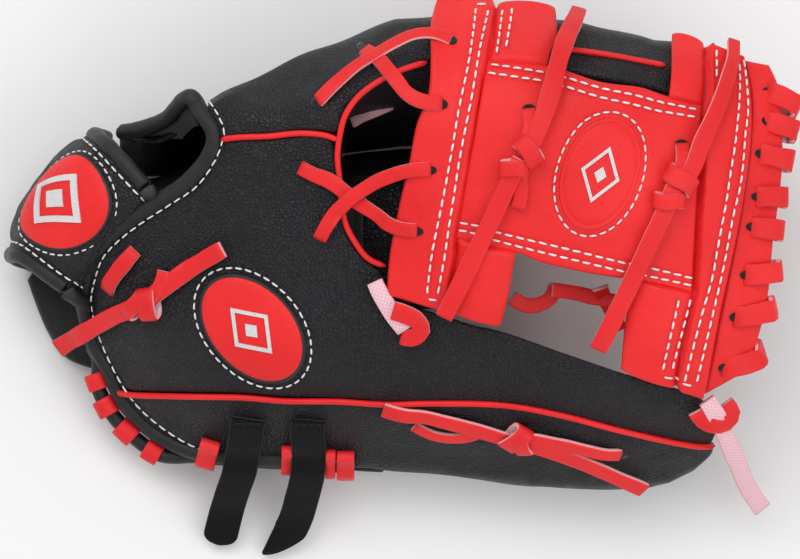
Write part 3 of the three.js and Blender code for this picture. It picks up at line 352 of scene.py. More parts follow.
M_BLACK = leather("black_pebble", (0.0064, 0.0056, 0.0076), (0.0092, 0.0080, 0.0108), (0.0140, 0.0124, 0.0160), rough=(0.36, 0.54), cell=680, depth=0.00034, wrinkle=0.4, spec=0.32, edge=0.35)
M_BIND = leather("black_rolled", (0.0062, 0.0058, 0.007), (0.0086, 0.0080, 0.0096), (0.0135, 0.0128, 0.0152), rough=(0.34, 0.48), cell=2300, depth=0.00005, wrinkle=0.3, spec=0.38, edge=0.3)
M_RED = leather("red_leather", (0.74, 0.013, 0.015), (0.82, 0.018, 0.020), (0.88, 0.026, 0.027), rough=(0.36, 0.5), cell=1250, depth=0.00007, wrinkle=0.12, spec=0.28, edge=0.12, valley_f=0.10, fine_f=0.12)
M_PIPE = leather("red_piping", (0.72, 0.012, 0.014), (0.80, 0.016, 0.018), (0.86, 0.024, 0.025), rough=(0.32, 0.45), cell=2500, depth=0.00003, wrinkle=0.1, spec=0.3, valley_f=0.08, fine_f=0.1)
M_LACE = leather("red_lace", (0.68, 0.012, 0.015), (0.78, 0.017, 0.020), (0.86, 0.026, 0.028), rough=(0.38, 0.54), cell=1900, depth=0.00004, wrinkle=0.2, spec=0.28, edge=0.2, valley_f=0.12, fine_f=0.15)
M_EDGE = suede("lace_cut_edge", (0.86, 0.50, 0.50), (0.78, 0.30, 0.31))
M_SUEDE = suede("lace_flesh_side", (0.80, 0.66, 0.71), (0.70, 0.52, 0.58), hatch=260.0)
M_THREAD = thread("white_thread", (0.84, 0.82, 0.82))
M_BTHREAD = thread("black_thread", (0.006, 0.006, 0.0065))
M_ELASTIC = ribbed("black_elastic", (0.0014, 0.0013, 0.0015), (0.0056, 0.0052, 0.0056))
M_LINING = felt("dark_lining", (0.010, 0.010, 0.011), (0.028, 0.028, 0.030))
M_PAD = felt("felt_pad", (0.10, 0.10, 0.10), (0.18, 0.18, 0.18))
# near-black discs at the lace holes: painted shade standing in for the depth of each hole
M_HOLE_SHADE = felt("hole_painted_shade", (0.002, 0.002, 0.002), (0.004, 0.004, 0.004))
M_RIM = leather("patch_rim", (0.010, 0.010, 0.011), (0.014, 0.014, 0.016), (0.02, 0.02, 0.023), rough=(0.35, 0.5), cell=2400, depth=0.00005, wrinkle=0.2)
M_MARK = leather("white_mark", (0.74, 0.73, 0.73), (0.82, 0.81, 0.81), (0.86, 0.85, 0.85), rough=(0.4, 0.5), cell=2600, depth=0.00004, wrinkle=0.1)
M_MARK2 = leather("pale_mark", (0.66, 0.60, 0.60), (0.74, 0.68, 0.68), (0.8, 0.74, 0.74), rough=(0.4, 0.5), cell=2600, depth=0.00004, wrinkle=0.1)


# ------------------------------------------------------------------ mesh helpers (all points in mm)
def make(name, verts, faces, mats, uvs=None, face_mat=None, smooth=True, body="shell", replaces=(), slot=None):
    me = D.meshes.new(name)
    v = np.array(verts, float) * 0.001
    v[:, 2] = np.maximum(v[:, 2], 0.00003)
    me.from_pydata(v.tolist(), [], faces if isinstance(faces, list) else faces.tolist())
    for m in (mats if isinstance(mats, (list, tuple)) else [mats]):
        me.materials.append(m)
    if face_mat is not None:
        me.polygons.foreach_set("material_index", np.asarray(face_mat, np.int32))
    me.polygons.foreach_set("use_smooth", np.full(len(me.polygons), bool(smooth)))
    if uvs is not None:
        lay = me.uv_layers.new(name="UVMap")
        idx = np.empty(len(me.loops), np.int32)
        me.loops.foreach_get("vertex_index", idx)
        lay.data.foreach_set("uv", np.asarray(uvs, np.float32)[idx].ravel())
    me.update()
    me.validate()
    ob = D.objects.new(name, me)
    bpy.context.scene.collection.objects.link(ob)
    if replaces:
        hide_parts(*replaces)
    if body is None:
        pass
    elif isinstance(body, tuple):
        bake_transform(ob)
    else:
        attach(ob, body)
    return ob


THUMB = ("shell", "thumb", (-0.0055, 0, 0), (0.032, -0.012, 0))
FINGERS = ("shell", "fingers", (-0.022, 0, 0), (0.018, 0, 0))


def _grid_faces(nu, nv, base=0, flip=False):
    i, j = np.meshgrid(np.arange(nu - 1), np.arange(nv - 1), indexing="ij")
    a = (base + i * nv + j).ravel()
    q = np.stack([a, a + nv, a + nv + 1, a + 1], -1)
    return q[:, ::-1] if flip else q


def solid_grid(name, front, back, mats, body="shell", replaces=(), slot=None, rim_mat=0, back_mat=0, uvs=None):
    nu, nv = front.shape[:2]
    n = nu * nv
    du = front[nu // 2 + 1 if nu > 2 else 1, nv // 2] - front[nu // 2 - 1 if nu > 2 else 0, nv // 2]
    dv = front[nu // 2, min(nv // 2 + 1, nv - 1)] - front[nu // 2, max(nv // 2 - 1, 0)]
    out = front[nu // 2, nv // 2] - back[nu // 2, nv // 2]
    flip = np.dot(np.cross(du, dv), out) < 0
    f = _grid_faces(nu, nv, 0, flip)
    b = _grid_faces(nu, nv, n, not flip)
    ring = np.r_[np.arange(nv), np.arange(1, nu) * nv + nv - 1, (nu - 1) * nv + np.arange(nv - 2, -1, -1), np.arange(nu - 2, 0, -1) * nv]
    nxt = np.roll(ring, -1)
    w = np.stack([ring, nxt, nxt + n, ring + n], -1)
    if flip:
        w = w[:, ::-1]
    faces = np.vstack([f, b, w])
    fm = np.r_[np.zeros(len(f)), np.full(len(b), back_mat), np.full(len(w), rim_mat)].astype(int)
    if uvs is None:
        u = np.linspace(0, 1, nu)[:, None] * np.ones((1, nv))
        v = np.ones((nu, 1)) * np.linspace(0, 1, nv)[None]
        uvs = np.stack([v, u], -1)
    uv2 = np.vstack([uvs.reshape(-1, 2)] * 2)
    return make(name, np.vstack([front.reshape(-1, 3), back.reshape(-1, 3)]), faces, mats, uvs=uv2, face_mat=fm, body=body, replaces=replaces, slot=slot)


def grid_normals(g, like=None):
    du, dv = np.gradient(g, axis=0), np.gradient(g, axis=1)
    n = np.cross(du, dv)
    n /= np.maximum(np.linalg.norm(n, axis=-1, keepdims=True), 1e-9)
    if like is not None and (n * like).sum() < 0:
        n = -n
    return n


def edge_distance(g, ends=(1, 1, 1, 1)):
    """Distance of every grid point to the panel's rim, mm (ends: u0, u1, v0, v1 used or not)."""
    lu = np.linalg.norm(np.diff(g, axis=0), axis=-1)
    lv = np.linalg.norm(np.diff(g, axis=1), axis=-1)
    cu = np.vstack([np.zeros((1, g.shape[1])), np.cumsum(lu, 0)])
    cv = np.hstack([np.zeros((g.shape[0], 1)), np.cumsum(lv, 1)])
    big = 1e3
    ds = [cu if ends[0] else big, (cu[-1:] - cu) if ends[1] else big, cv if ends[2] else big, (cv[:, -1:] - cv) if ends[3] else big]
    d = np.full(g.shape[:2], big)
    for q in ds:
        d = np.minimum(d, q)
    return d


def near(g, lines):
    """Smallest distance from grid points to polylines (mm points)."""
    pts = g.reshape(-1, 3)
    d = np.full(len(pts), 1e9)
    for ln in lines:
        c = resample(ln, max(2, int(length(ln) / 0.8)))
        for i in range(0, len(pts), 8000):
            q = pts[i:i + 8000]
            dd = ((q[:, None] - c[None]) ** 2).sum(-1).min(1)
            d[i:i + 8000] = np.minimum(d[i:i + 8000], dd)
    return np.sqrt(d).reshape(g.shape[:2])


def leather_sheet(name, g, t, mats, body="shell", replaces=(), slot=None, roll=1.2, ends=(1, 1, 1, 1), puff=0.0, puff_w=9.0,
                  wave=0.25, wave_scale=34, seed=0, grooves=(), out=None, rim_mat=0, back_mat=0, back_roll=0.4):
    """A thick leather piece over grid g: rolled rim, soft fullness, pulled-in stitch lines."""
    n = grid_normals(g, out if out is not None else None)
    d = edge_distance(g, ends)
    off = np.zeros(d.shape)
    dd = np.clip(d, 0, roll)
    off -= roll - np.sqrt(np.maximum(roll ** 2 - (roll - dd) ** 2, 0))
    if puff:
        off += puff * (1 - np.exp(-(d / puff_w) ** 2)) - puff * 0.35
    if wave:
        off += wave * wob(g, wave_scale, seed) * np.clip(d / 6, 0, 1) + wave * 0.35 * wob(g, wave_scale / 3.1, seed + 5) * np.clip(d / 4, 0, 1)
    for lines, depth, width in grooves:
        q = near(g, lines)
        off -= depth * np.exp(-(q / width) ** 2)
    front = g + n * off[..., None]
    back = g - n * t + n * (np.clip(back_roll - np.clip(d, 0, back_roll), 0, None))[..., None]
    return solid_grid(name, front, back, mats, body=body, replaces=replaces, slot=slot, rim_mat=rim_mat, back_mat=back_mat)


def drape_grid(A, B, nu, nv, off=0.0, sa=None, sb=None):
    a = spline(A, nu - 1) if sa is None else sa
    b = spline(B, nu - 1) if sb is None else sb
    v = np.linspace(0, 1, nv)[None, :, None]
    p = a[:, None] * (1 - v) + b[:, None] * v
    return at(p[..., 0], p[..., 1], off)


def row_grid(rows, nv):
    """Grid from a list of control rows (each a list of 3-D points), each row smoothed along its length."""
    r = np.array([spline(q, nv - 1) for q in rows])
    return r


def frames(c, up):
    t = np.gradient(c, axis=0)
    t /= np.maximum(np.linalg.norm(t, axis=1, keepdims=True), 1e-9)
    up = np.broadcast_to(np.asarray(up, float), c.shape)
    s = np.cross(t, up)
    s /= np.maximum(np.linalg.norm(s, axis=1, keepdims=True), 1e-9)
    u = np.cross(s, t)
    return t, s, u


def sweep(name, c, prof, up, mats, body="shell", replaces=(), slot=None, closed=False, cap=True, prof_mat=None, scale=None, cap_mat=0, smooth=True):
    """Sweeps closed profile prof [(s, u)...] (counter-clockwise) along c."""
    t, s, u = frames(c, up)
    prof = np.asarray(prof, float)
    k, n = len(prof), len(c)
    sc = np.ones(n) if scale is None else np.asarray(scale)
    if sc.ndim == 1:
        sc = np.stack([sc, sc], -1)
    v = c[:, None] + s[:, None] * prof[None, :, 0:1] * sc[:, None, 0:1] + u[:, None] * prof[None, :, 1:2] * sc[:, None, 1:2]
    faces, fm = [], []
    m = n if closed else n - 1
    i = np.arange(m)[:, None]
    j = np.arange(k)[None]
    a = i * k + j
    b = i * k + (j + 1) % k
    i2 = (i + 1) % n
    q = np.stack([a, b, i2 * k + (j + 1) % k, i2 * k + j], -1).reshape(-1, 4)
    pm = np.zeros(k, int) if prof_mat is None else np.asarray(prof_mat)
    fm = np.tile(pm, m)
    faces = q.tolist()
    if not closed and cap:
        faces.append(list(range(k))[::-1])
        faces.append([(n - 1) * k + x for x in range(k)])
        fm = np.r_[fm, cap_mat, cap_mat]
    L = np.r_[0, np.cumsum(np.linalg.norm(np.diff(c, axis=0), axis=1))] * 0.001
    uu = np.repeat(L[:, None], k, 1)
    vv = np.repeat((prof[:, 0] * 0.001)[None], n, 0)
    ob = make(name, v.reshape(-1, 3), faces, mats, uvs=np.stack([vv, uu], -1).reshape(-1, 2), face_mat=fm, body=body, replaces=replaces, slot=slot, smooth=smooth)
    return fix_out(ob)


def fix_out(ob):
    """Faces out."""
    me = ob.data
    co = np.empty(len(me.vertices) * 3)
    me.vertices.foreach_get("co", co)
    co = co.reshape(-1, 3)
    me.calc_loop_triangles()
    tri = np.empty(len(me.loop_triangles) * 3, np.int32)
    me.loop_triangles.foreach_get("vertices", tri)
    tri = tri.reshape(-1, 3)
    vol = np.einsum("ij,ij->i", co[tri[:, 0]], np.cross(co[tri[:, 1]], co[tri[:, 2]])).sum()
    if vol < 0:
        me.flip_normals()
    return ob


def circle(r, k=12):
    a = np.arange(k) / k * 2 * math.pi
    return np.stack([r * np.cos(a), r * np.sin(a)], -1)


def tube_on(name, path, r, mats, off, n=None, body="shell", replaces=(), slot=None, k=12, taper=True):
    p = spline(path, n or max(12, int(length(np.array(path, float)) / 3)))
    c = at(p[:, 0], p[:, 1], off)
    sc = np.ones(len(c))
    if taper:
        sc[:3], sc[-3:] = [0.35, 0.75, 0.95], [0.95, 0.75, 0.35]
    return sweep(name, c, circle(r, k), normal_at(p[:, 0], p[:, 1]), mats, body=body, replaces=replaces, slot=slot, scale=sc)


def lace_profile(w, t, r=0.45):
    """Flat lace section: rounded grain side, cut edges, flesh side. Returns points and their material ids."""
    h, q = t / 2, w / 2
    pts = [(q, -h + r * 0.5), (q, h - r), (q - r * 0.35, h - r * 0.3), (q - r, h), (q * 0.5, h + 0.06), (0, h + 0.08), (-q * 0.5, h + 0.06),
           (-q + r, h), (-q + r * 0.35, h - r * 0.3), (-q, h - r), (-q, -h + r * 0.5), (-q + r * 0.5, -h), (q - r * 0.5, -h)]
    mat = [1, 0, 0, 0, 0, 0, 0, 0, 0, 1, 1, 2, 1]
    return np.array(pts), mat


def lace(name, pts, up, w=6.4, t=1.9, body="shell", replaces=(), n=None, seed=0, flip=False, mats=None, scale=None):
    """Lace along 3-D points; up: normals at the points (or one normal); flip shows the flesh side."""
    P = np.asarray(pts, float)
    n = n or max(10, int(length(P) / 1.6))
    c = spline(P, n)
    U = np.asarray(up, float)
    if U.ndim == 2:
        U = spline(U, n) if len(U) == len(P) else U
    prof, pm = lace_profile(w, t)
    if flip:
        U = -U
    sc = 1 + 0.05 * wob(c, 14, seed)
    if scale is not None:
        sc = sc * np.interp(np.linspace(0, 1, len(c)), np.linspace(0, 1, len(scale)), scale)
    return sweep(name, c, prof, U, mats or [M_LACE, M_EDGE, M_SUEDE], body=body, replaces=replaces, slot="rawhide_lace", prof_mat=pm, scale=np.stack([sc, np.ones(len(c))], -1), cap_mat=1)


def lace_on(name, path, offs, w=6.4, t=1.9, **kw):
    """Lace lying on the form along a plan path; offs: lift at each path point."""
    n = max(10, int(length(np.array(path, float)) / 4.5))
    if np.ndim(offs) == 0:
        offs = [offs] * len(path)
    q = spline([[a, b, o] for (a, b), o in zip(path, offs)], n)
    c = at(q[:, 0], q[:, 1], q[:, 2] + t / 2)
    return lace(name, c, normal_at(q[:, 0], q[:, 1]), w, t, n=n, **kw)


# one stitch: a short bowed rod whose ends dive into the leather
def _stitch_template(L, r, k=6, m=7):
    x = np.linspace(-1, 1, m)
    rad = r * np.sqrt(np.clip(1.02 - np.abs(x) ** 5, 0.05, 1))
    ang = np.arange(k) / k * 2 * math.pi
    v, uv = [], []
    for xi, ri in zip(x, rad):
        for g in ang:
            v.append((xi * L / 2, ri * math.cos(g), ri * math.sin(g) - 0.42 * r * xi ** 4 * 1.6))
            uv.append((xi, g / 6.28))
    f = []
    for i in range(m - 1):
        for j in range(k):
            f.append([i * k + j, i * k + (j + 1) % k, (i + 1) * k + (j + 1) % k, (i + 1) * k + j])
    f.append(list(range(k)))
    f.append([(m - 1) * k + j for j in range(k)][::-1])
    return np.array(v), f, np.array(uv)


def stitches(name, lines, mat=None, dash=3.1, gap=1.05, r=0.36, body="shell", lift=0.12):
    """lines: list of (points mm, normals). One mesh of all the stitches."""
    T, F, UV = _stitch_template(dash, r)
    vs, fs, us = [], [], []
    base = 0
    for c, nn in lines:
        L = length(c)
        k = max(1, int(round(L / (dash + gap))))
        s = np.r_[0, np.cumsum(np.linalg.norm(np.diff(c, axis=0), axis=1))]
        for i in range(k):
            m0 = (i + 0.5) / k * L
            e = min(dash / 2, 0.4 * L / k + 0.5)
            p0, p1, pm = [np.array([np.interp(m0 + d, s, c[:, q]) for q in range(3)]) for d in (-e, e, 0)]
            n = np.array([np.interp(m0, s, nn[:, q]) for q in range(3)])
            t = p1 - p0
            t /= max(np.linalg.norm(t), 1e-9)
            y = np.cross(n, t)
            y /= max(np.linalg.norm(y), 1e-9)
            z = np.cross(t, y)
            j = math.sin(i * 12.9898 + base * 0.0078) * 0.06
            sc = (L / k - gap) / dash
            vs.append(pm + z * lift + (T[:, :1] * sc) * (t + y * j) + T[:, 1:2] * y + T[:, 2:] * z)
            fs.extend([[q + base for q in f] for f in F])
            us.append(UV)
            base += len(T)
    return make(name, np.vstack(vs), fs, mat or M_THREAD, uvs=np.vstack(us), body=body)


def line_on(path, off=0.0, n=None):
    p = spline(path, n or max(8, int(length(np.array(path, float)) / 3)))
    return at(p[:, 0], p[:, 1], off), normal_at(p[:, 0], p[:, 1])


def ellipse(ca, cb, ra, rb, tilt, n=90):
    t = np.arange(n + 1) / n * 2 * math.pi
    u, v = ra * np.cos(t), rb * np.sin(t)
    return np.stack([ca + u * math.cos(tilt) - v * math.sin(tilt), cb + u * math.sin(tilt) + v * math.cos(tilt)], -1)


def disc(name, rings, mats, ring_mat, t, normals, body="shell", replaces=(), slot=None):
    """Closed disc from rings of points (outermost last); ring 0 is tiny. Underside is the rings dropped by t."""
    R, n = len(rings), len(rings[0])
    V = [rings[0].mean(0)] + [p for r in rings for p in r]
    nb = len(V)
    Vb = [rings[0].mean(0) - normals[0].mean(0) * t] + [p for r, m in zip(rings, normals) for p in (r - m * t)]
    idx = lambda r, k: 1 + r * n + k % n
    f, fm = [], []
    for k in range(n):
        f.append([0, idx(0, k), idx(0, k + 1)])
        fm.append(ring_mat[0])
        f.append([nb, nb + idx(0, k + 1), nb + idx(0, k)])
        fm.append(0)
        for r in range(R - 1):
            f.append([idx(r, k), idx(r + 1, k), idx(r + 1, k + 1), idx(r, k + 1)])
            fm.append(ring_mat[r + 1])
            f.append([nb + idx(r, k), nb + idx(r, k + 1), nb + idx(r + 1, k + 1), nb + idx(r + 1, k)])
            fm.append(0)
        f.append([idx(R - 1, k), nb + idx(R - 1, k), nb + idx(R - 1, k + 1), idx(R - 1, k + 1)])
        fm.append(ring_mat[-1])
    ob = make(name, np.vstack([np.array(V), np.array(Vb)]), f, mats, face_mat=fm, body=body, replaces=replaces, slot=slot)
    return fix_out(ob)


# ------------------------------------------------------------------ plan outlines on the layout grid (as in the CAD)
UPPER_SEAM = [[222, 140], [240, 138], [270, 137], [301, 134], [326, 136], [339, 141]]
LOWER_SEAM = [[104, 392], [124, 394], [180, 396], [244, 397], [284, 400], [339, 401], [386, 404], [427, 403], [504, 405], [561, 415], [619, 430], [677, 443], [702, 447], [718, 446]]
INDEX_EDGE = [[112, 129], [141, 129], [159, 126], [177, 114], [186, 107], [208, 100], [230, 89], [263, 73], [313, 51], [354, 35], [396, 20], [436, 15], [480, 16], [556, 21], [581, 23], [617, 29], [640, 35], [654, 40], [680, 42], [719, 54], [738, 66]]
THUMB_EDGE = [[351, 472], [370, 472], [427, 477], [485, 484], [533, 491], [580, 493], [647, 493], [671, 488], [696, 475], [712, 459], [720, 446]]
HEEL_EDGE = [[84, 322], [90, 345], [104, 370], [119, 402], [145, 430], [176, 449], [205, 457], [240, 460], [300, 464], [351, 469]]
OPENING = [[82, 318], [80, 299], [83, 280], [92, 256], [114, 232], [152, 206], [190, 180], [212, 150], [213, 132], [201, 112], [196, 103]]
CROTCH = [[427, 64], [404, 71], [379, 83], [359, 98], [346, 116], [340, 138], [338, 158], [340, 179], [342, 204], [346, 224], [354, 240], [368, 258], [386, 266]]
THUMB_TOP = [[389, 300], [426, 312], [443, 317], [470, 326], [500, 333], [560, 354], [618, 374], [657, 386], [702, 401], [714, 420], [718, 438]]
NEAR_L = [[439, 6], [431, 33], [429, 66], [426, 100], [417, 124], [411, 158], [404, 191], [396, 232], [391, 264], [389, 292]]
NEAR_R = [[555, 14], [557, 40], [549, 64], [541, 100], [533, 150], [526, 200], [517, 252], [510, 294], [502, 324]]
FAR_L = [[669, 40], [665, 72], [662, 97], [657, 150], [650, 200], [643, 250], [634, 282], [624, 308], [619, 366]]
FAR_R = [[740, 62], [746, 96], [744, 140], [739, 180], [733, 220], [724, 270], [715, 315], [706, 360], [700, 392]]
STRIP_R = [[768, 68], [777, 92], [779, 130], [779, 170], [775, 205], [770, 241], [765, 295], [757, 330], [744, 368]]
INNER = [[330, 131], [342, 112], [355, 95], [377, 79], [403, 66.5], [430, 58], [480, 58], [540, 66], [600, 77], [650, 87], [690, 98], [722, 108]]


def sstep(x):
    x = np.clip(x, 0, 1)
    return x * x * (3 - 2 * x)


# ------------------------------------------------------------------ thumb base and thumb back: one leather
A1 = [[86, 270], [92, 257], [110, 237], [148, 211], [194, 182], [213, 158], [219, 143], [240, 139.5], [270, 138.5], [301, 135.5], [328, 138], [335, 158], [335.5, 179], [337.5, 204], [342, 226], [350, 243], [365, 262], [378, 272], [384, 290], [389, 300]]
B1 = [[85, 320], [92, 345], [101, 364], [109, 380], [120, 391.5], [150, 394.2], [180, 395], [244, 396], [284, 399], [339, 400.2], [389, 403]]
A2 = THUMB_TOP[:-1] + [[717, 437]]
B2 = [[389, 403], [427, 402], [504, 404], [561, 414], [619, 429], [677, 442], [702, 445.5], [714, 444.5]]
g1 = drape_grid(A1, B1, 150, 64)
g2 = drape_grid(A2, B2, 120, 64)
BIND_STITCH = [[209, 101], [219, 116], [225, 132], [223, 143], [217, 159], [198, 186], [170, 205], [139, 225], [114, 245], [102, 259], [95, 277], [90, 299], [92, 317], [98, 338], [110, 366], [124, 391], [138, 409], [161, 429], [191, 447], [214, 454], [240, 456], [300, 460], [352, 463]]
thumb_ring = ellipse(253, 328, 69.3, 47.2, 0.82)
ring_pts = at(thumb_ring[:, 0], thumb_ring[:, 1], 0)
bind_line, _ = line_on(BIND_STITCH)
leather_sheet("thumb_back_leather", np.concatenate([g1[:-1], g2]), 2.2, [M_BLACK], body=THUMB,
              replaces=("thumb_base_back_panel", "thumb_back_panel"), slot="black_leather", roll=0.8, wave=0.35, wave_scale=42, seed=3,
              puff=0.4, puff_w=5, grooves=[([ring_pts], 0.35, 1.6), ([bind_line], 0.5, 1.5)], out=np.array([0, 0, 1.0]))

# heel side and thumb side, below the lower seam
DS = [[108, 392], [117, 400], [140, 421], [170, 440], [205, 452], [250, 456], [300, 460], [352, 466]]
rows = []
for a in np.r_[np.linspace(112, 690, 190), np.linspace(692, 716, 16)]:
    b = float(y_at(LOWER_SEAM, a)) + 1.0
    be = float(y_at(THUMB_EDGE, a))
    m_ = float(sstep((a - 338) / 16))
    b1 = max(b + 2, be - 6) * m_ + max(b + 0.8, float(y_at(DS, a))) * (1 - m_)
    row = [at(a, b + (b1 - b) * j / 4, 0) for j in range(5)]
    p = row[-1]
    ye, k = float(gy(be)) + 0.8, min(1, max(0, (a - 660) / 54))
    z = min(p[2] - 3, 26 + 6 * k)
    wrap = [[p[0], ye, z], [p[0], ye + 1, z * 0.55], [p[0] - k, ye + 5 + 3 * k, 3 * (1 + 3 * k)], [p[0] - 2 * k, ye + 8.5 + 4 * k, max(0.4, -0.8 + 9 * k)]]
    tuck = [[p[0], p[1] - 0.5, p[2] - 1.2], [p[0], p[1] - 0.4, p[2] - 2.6], [p[0], p[1] + 0.4, p[2] - 3.8], [p[0], p[1] + 1.6, p[2] - 4.6]]
    row += [np.array(w) * m_ + np.array(t) * (1 - m_) for w, t in zip(wrap, tuck)]
    rows.append(spline(row, 47))
TS = np.array(rows)
leather_sheet("thumb_side_leather", TS, 2.2, [M_BLACK], body=THUMB, replaces=("heel_side_panel", "thumb_side_panel"), slot="black_leather",
              roll=0.8, ends=(1, 1, 1, 1), wave=0.35, seed=3, wave_scale=42, out=np.array([0, -1, 0.6]))

# ------------------------------------------------------------------ index finger back, over the crest and down the outer side
inner = [[207, 139], [222, 138], [240, 136], [270, 134.5], [301, 131.5], [326, 133.5], [336, 134]] + INNER[1:]
fin = spline(inner, 210)
rows = []
for a, b in fin:
    bs = float(y_at(INDEX_EDGE, a))
    row = [at(a, b + (bs + 7 - b) * j / 4, 0) for j in range(5)]
    x, top = float(gx(a)), row[4]
    tip = max(0, (a - 690) / 32)
    zl = min(55.3, top[2] - 6)
    dz = top[2] - zl
    row += [np.array([x, float(gy(bs)) - 0.7, zl + dz * 0.62]), np.array([x, float(gy(bs)) - 0.5 - tip, zl + dz * 0.3]), np.array([x, float(gy(bs)) - 3.6, zl])]
    rows.append(spline(row, 51))
IG = np.array(rows)
leather_sheet("index_back_leather", IG, 2.2, [M_BLACK], replaces=("index_back_panel",), slot="black_leather", roll=0.8, wave=0.4, wave_scale=40, seed=9,
              puff=0.4, puff_w=5, out=np.array([0, 1, 0.8]))


# the three lower fingers: bowed backs with closed, rounded tips
def yS(x): return float(gy(y_at(INDEX_EDGE, ga(x))))


FING = [("middle_back_leather", "middle_back_panel", 44.6, 9.9, 4, 122.5, 60), ("ring_back_leather", "ring_back_panel", 23.9, 9.9, 9, 115, 57), ("little_back_leather", "little_back_panel", 6.6, 6.6, 15, 99, 52)]
for fi, (nm, node, zc, hz, inset, tip, yc) in enumerate(FING):
    rows = []
    for i in range(100):
        s = i / 99
        x = -22 + (tip + 22) * (1 - (1 - s) ** 1.7)
        q = (x + 22) / (tip + 22)
        f = math.sqrt(max(0.0, 1 - q ** 9))
        outer = yS(min(x, 112)) - inset - 0.8
        y0 = yc - max(0, -x) * 0.12
        D_ = max(2.4, (outer - y0)) * (0.12 + 0.88 * f) + 1.2 * math.sin(s * 9 + fi) * f * 0.35
        row = []
        for k in range(25):
            p = math.pi * (k / 24 - 0.5)
            row.append([x, y0 + D_ * max(0.0, math.cos(p)) ** 0.62, zc + hz * (0.25 + 0.75 * f) * math.sin(p)])
        rows.append(spline(row, 31))
    G = np.array(rows)
    seam = G[:, 16]
    leather_sheet(nm, G, 2.2, [M_BLACK], body=FINGERS, replaces=(node,), slot="black_leather", roll=0.8, wave=0.45, wave_scale=30, seed=20 + fi, out=np.array([0, 1, 0.1]),
                  grooves=[([G[:96, 15]], 0.7, 1.3)])
    c = G[2:95, 15]
    nn = grid_normals(G, np.array([0, 1, 0.1]))[2:95, 15]
    sweep("finger_welt_%d" % (fi + 1), c - nn * 0.2, circle(1.0, 10), nn, [M_PIPE], body=FINGERS, slot="red_leather", scale=np.r_[0.3, 0.8, np.ones(89), 0.8, 0.3])

# dorsal wall between the wrist strap and the stalls
rows = []
for i in range(70):
    x = -102 + (-22.2 + 102) * i / 69
    ys, zt = yS(x), 54.3 - 20 * max(0, (-x - 74) / 28)
    row = []
    for k in range(40):
        u = k / 39
        row.append([x, ys - 4.5 * min(1, (x + 104) / 30 + 0.3) - 13 * u * u + 1.5 * math.sin(math.pi * u), max(0.3, zt * (1 - u) - 0.6 * u)])
    rows.append(row)
HB = np.array(rows)
leather_sheet("hand_back_leather", HB, 2.2, [M_BLACK], replaces=("hand_back_panel",), slot="black_leather", roll=1.2, wave=0.6, wave_scale=36, seed=31, out=np.array([0, 1, 0.2]))
stitches("hand_back_stitching", [(HB[40:-1, 2] + np.array([0, 0.3, 0]), np.broadcast_to([0, 1, 0.1], HB[40:-1, 2].shape))], lift=0.5)

# ------------------------------------------------------------------ palm leathers
g = []
for i in range(90):
    u = i / 89
    row = []
    xe = [116, 119, 122, 115, 108, 99]
    for j, (dy, z, e) in enumerate([(-2, None, 116), (None, 66, 119), (58.5, 48, 122), (56, 30, 115.5), (51.5, 14, 108), (48.5, 2.4, 99)]):
        x = -22 + (e + 22) * u
        a = float(ga(x))
        sh = max(0, -x) * 0.12
        yi = float(gy(y_at(INNER, a)))
        if j == 0:
            row.append([x, yi - 2, float(H(a, float(y_at(INNER, a)))) - 4.9])
        elif j == 1:
            row.append([x, min(yi - 2, 63) - sh, z])
        else:
            row.append([x, dy - sh, z])
    g.append(spline(row, 59))
FP = np.array(g)
leather_sheet("finger_palm_leather", FP, 2.2, [M_BLACK], body=FINGERS, replaces=("finger_palm_panel",), slot="black_leather", roll=1.0, wave=0.4, seed=41, out=np.array([0, -1, -0.2]))
g = []
for i in range(90):
    x = float(gx(386)) + (112 - float(gx(386))) * i / 89
    a = float(ga(x))
    bt_, be = float(y_at(THUMB_TOP, a)), float(y_at(THUMB_EDGE, a))
    top = at(a, bt_ + 6, -3.4)
    k = min(1, max(0, (a - 640) / 80))
    yb, zb = float(gy(be)) + 14 + 2 * k, 3.2 + 9 * k
    g.append([[x, top[1] * (1 - u) + yb * u + 7 * (1 - k) * math.sin(math.pi * u), top[2] * (1 - u) + zb * u] for u in np.linspace(0, 1, 50)])
leather_sheet("thumb_palm_leather", np.array(g), 2.2, [M_BLACK], body=THUMB, replaces=("thumb_palm_panel",), slot="black_leather", roll=1.0, wave=0.4, seed=42, out=np.array([0, 1, -0.2]))


def palm_z(x, y): return 41 + 0.02 * x - 15 * abs((y - 2) / 50) ** 2.2 - 7 * max(0, (-x - 62) / 40) ** 2


def palm_grid(lift, x0, x1, inset, nu=70, nv=60):
    g = []
    for i in range(nu):
        x = x0 + (x1 - x0) * i / (nu - 1)
        k = min(1, max(0, (x + 13) / 7))
        lo = (float(gy(y_at([[84, 322]] + HEEL_EDGE[1:] + [[386, 472], [460, 470]], ga(x)))) + 9 + inset) * (1 - k) - 10.5 * k
        hi = (39.4 - max(0, -x - 22) * 0.1 - inset) * (1 - k) + 35.5 * k
        g.append([[x, y, palm_z(x, y) + lift] for y in np.linspace(lo, hi, nv)])
    return np.array(g)


PG = palm_grid(0, -96, 24, 0)
leather_sheet("palm_leather_sheet", PG, 2.2, [M_BLACK], replaces=("palm_leather",), slot="black_leather", roll=1.0, wave=0.4, seed=51, out=np.array([0, 0, 1]))
def skirt(x0, x1, nu, edge_y):
    g = []
    for i in range(nu):
        x = x0 + (x1 - x0) * i / (nu - 1)
        k = min(1, max(0, (x + 13) / 7))
        hi = (39.4 - max(0, -x - 22) * 0.1) * (1 - k) + 35.5 * k
        z0 = palm_z(x, hi)
        ye = edge_y(x)
        g.append(spline([[x, hi - 1.5, palm_z(x, hi - 1.5) - 0.6], [x, hi + (ye - hi) * 0.5, z0 * 0.74], [x, hi + (ye - hi) * 0.85, z0 * 0.42], [x, ye, 2.0]], 30))
    return np.array(g)


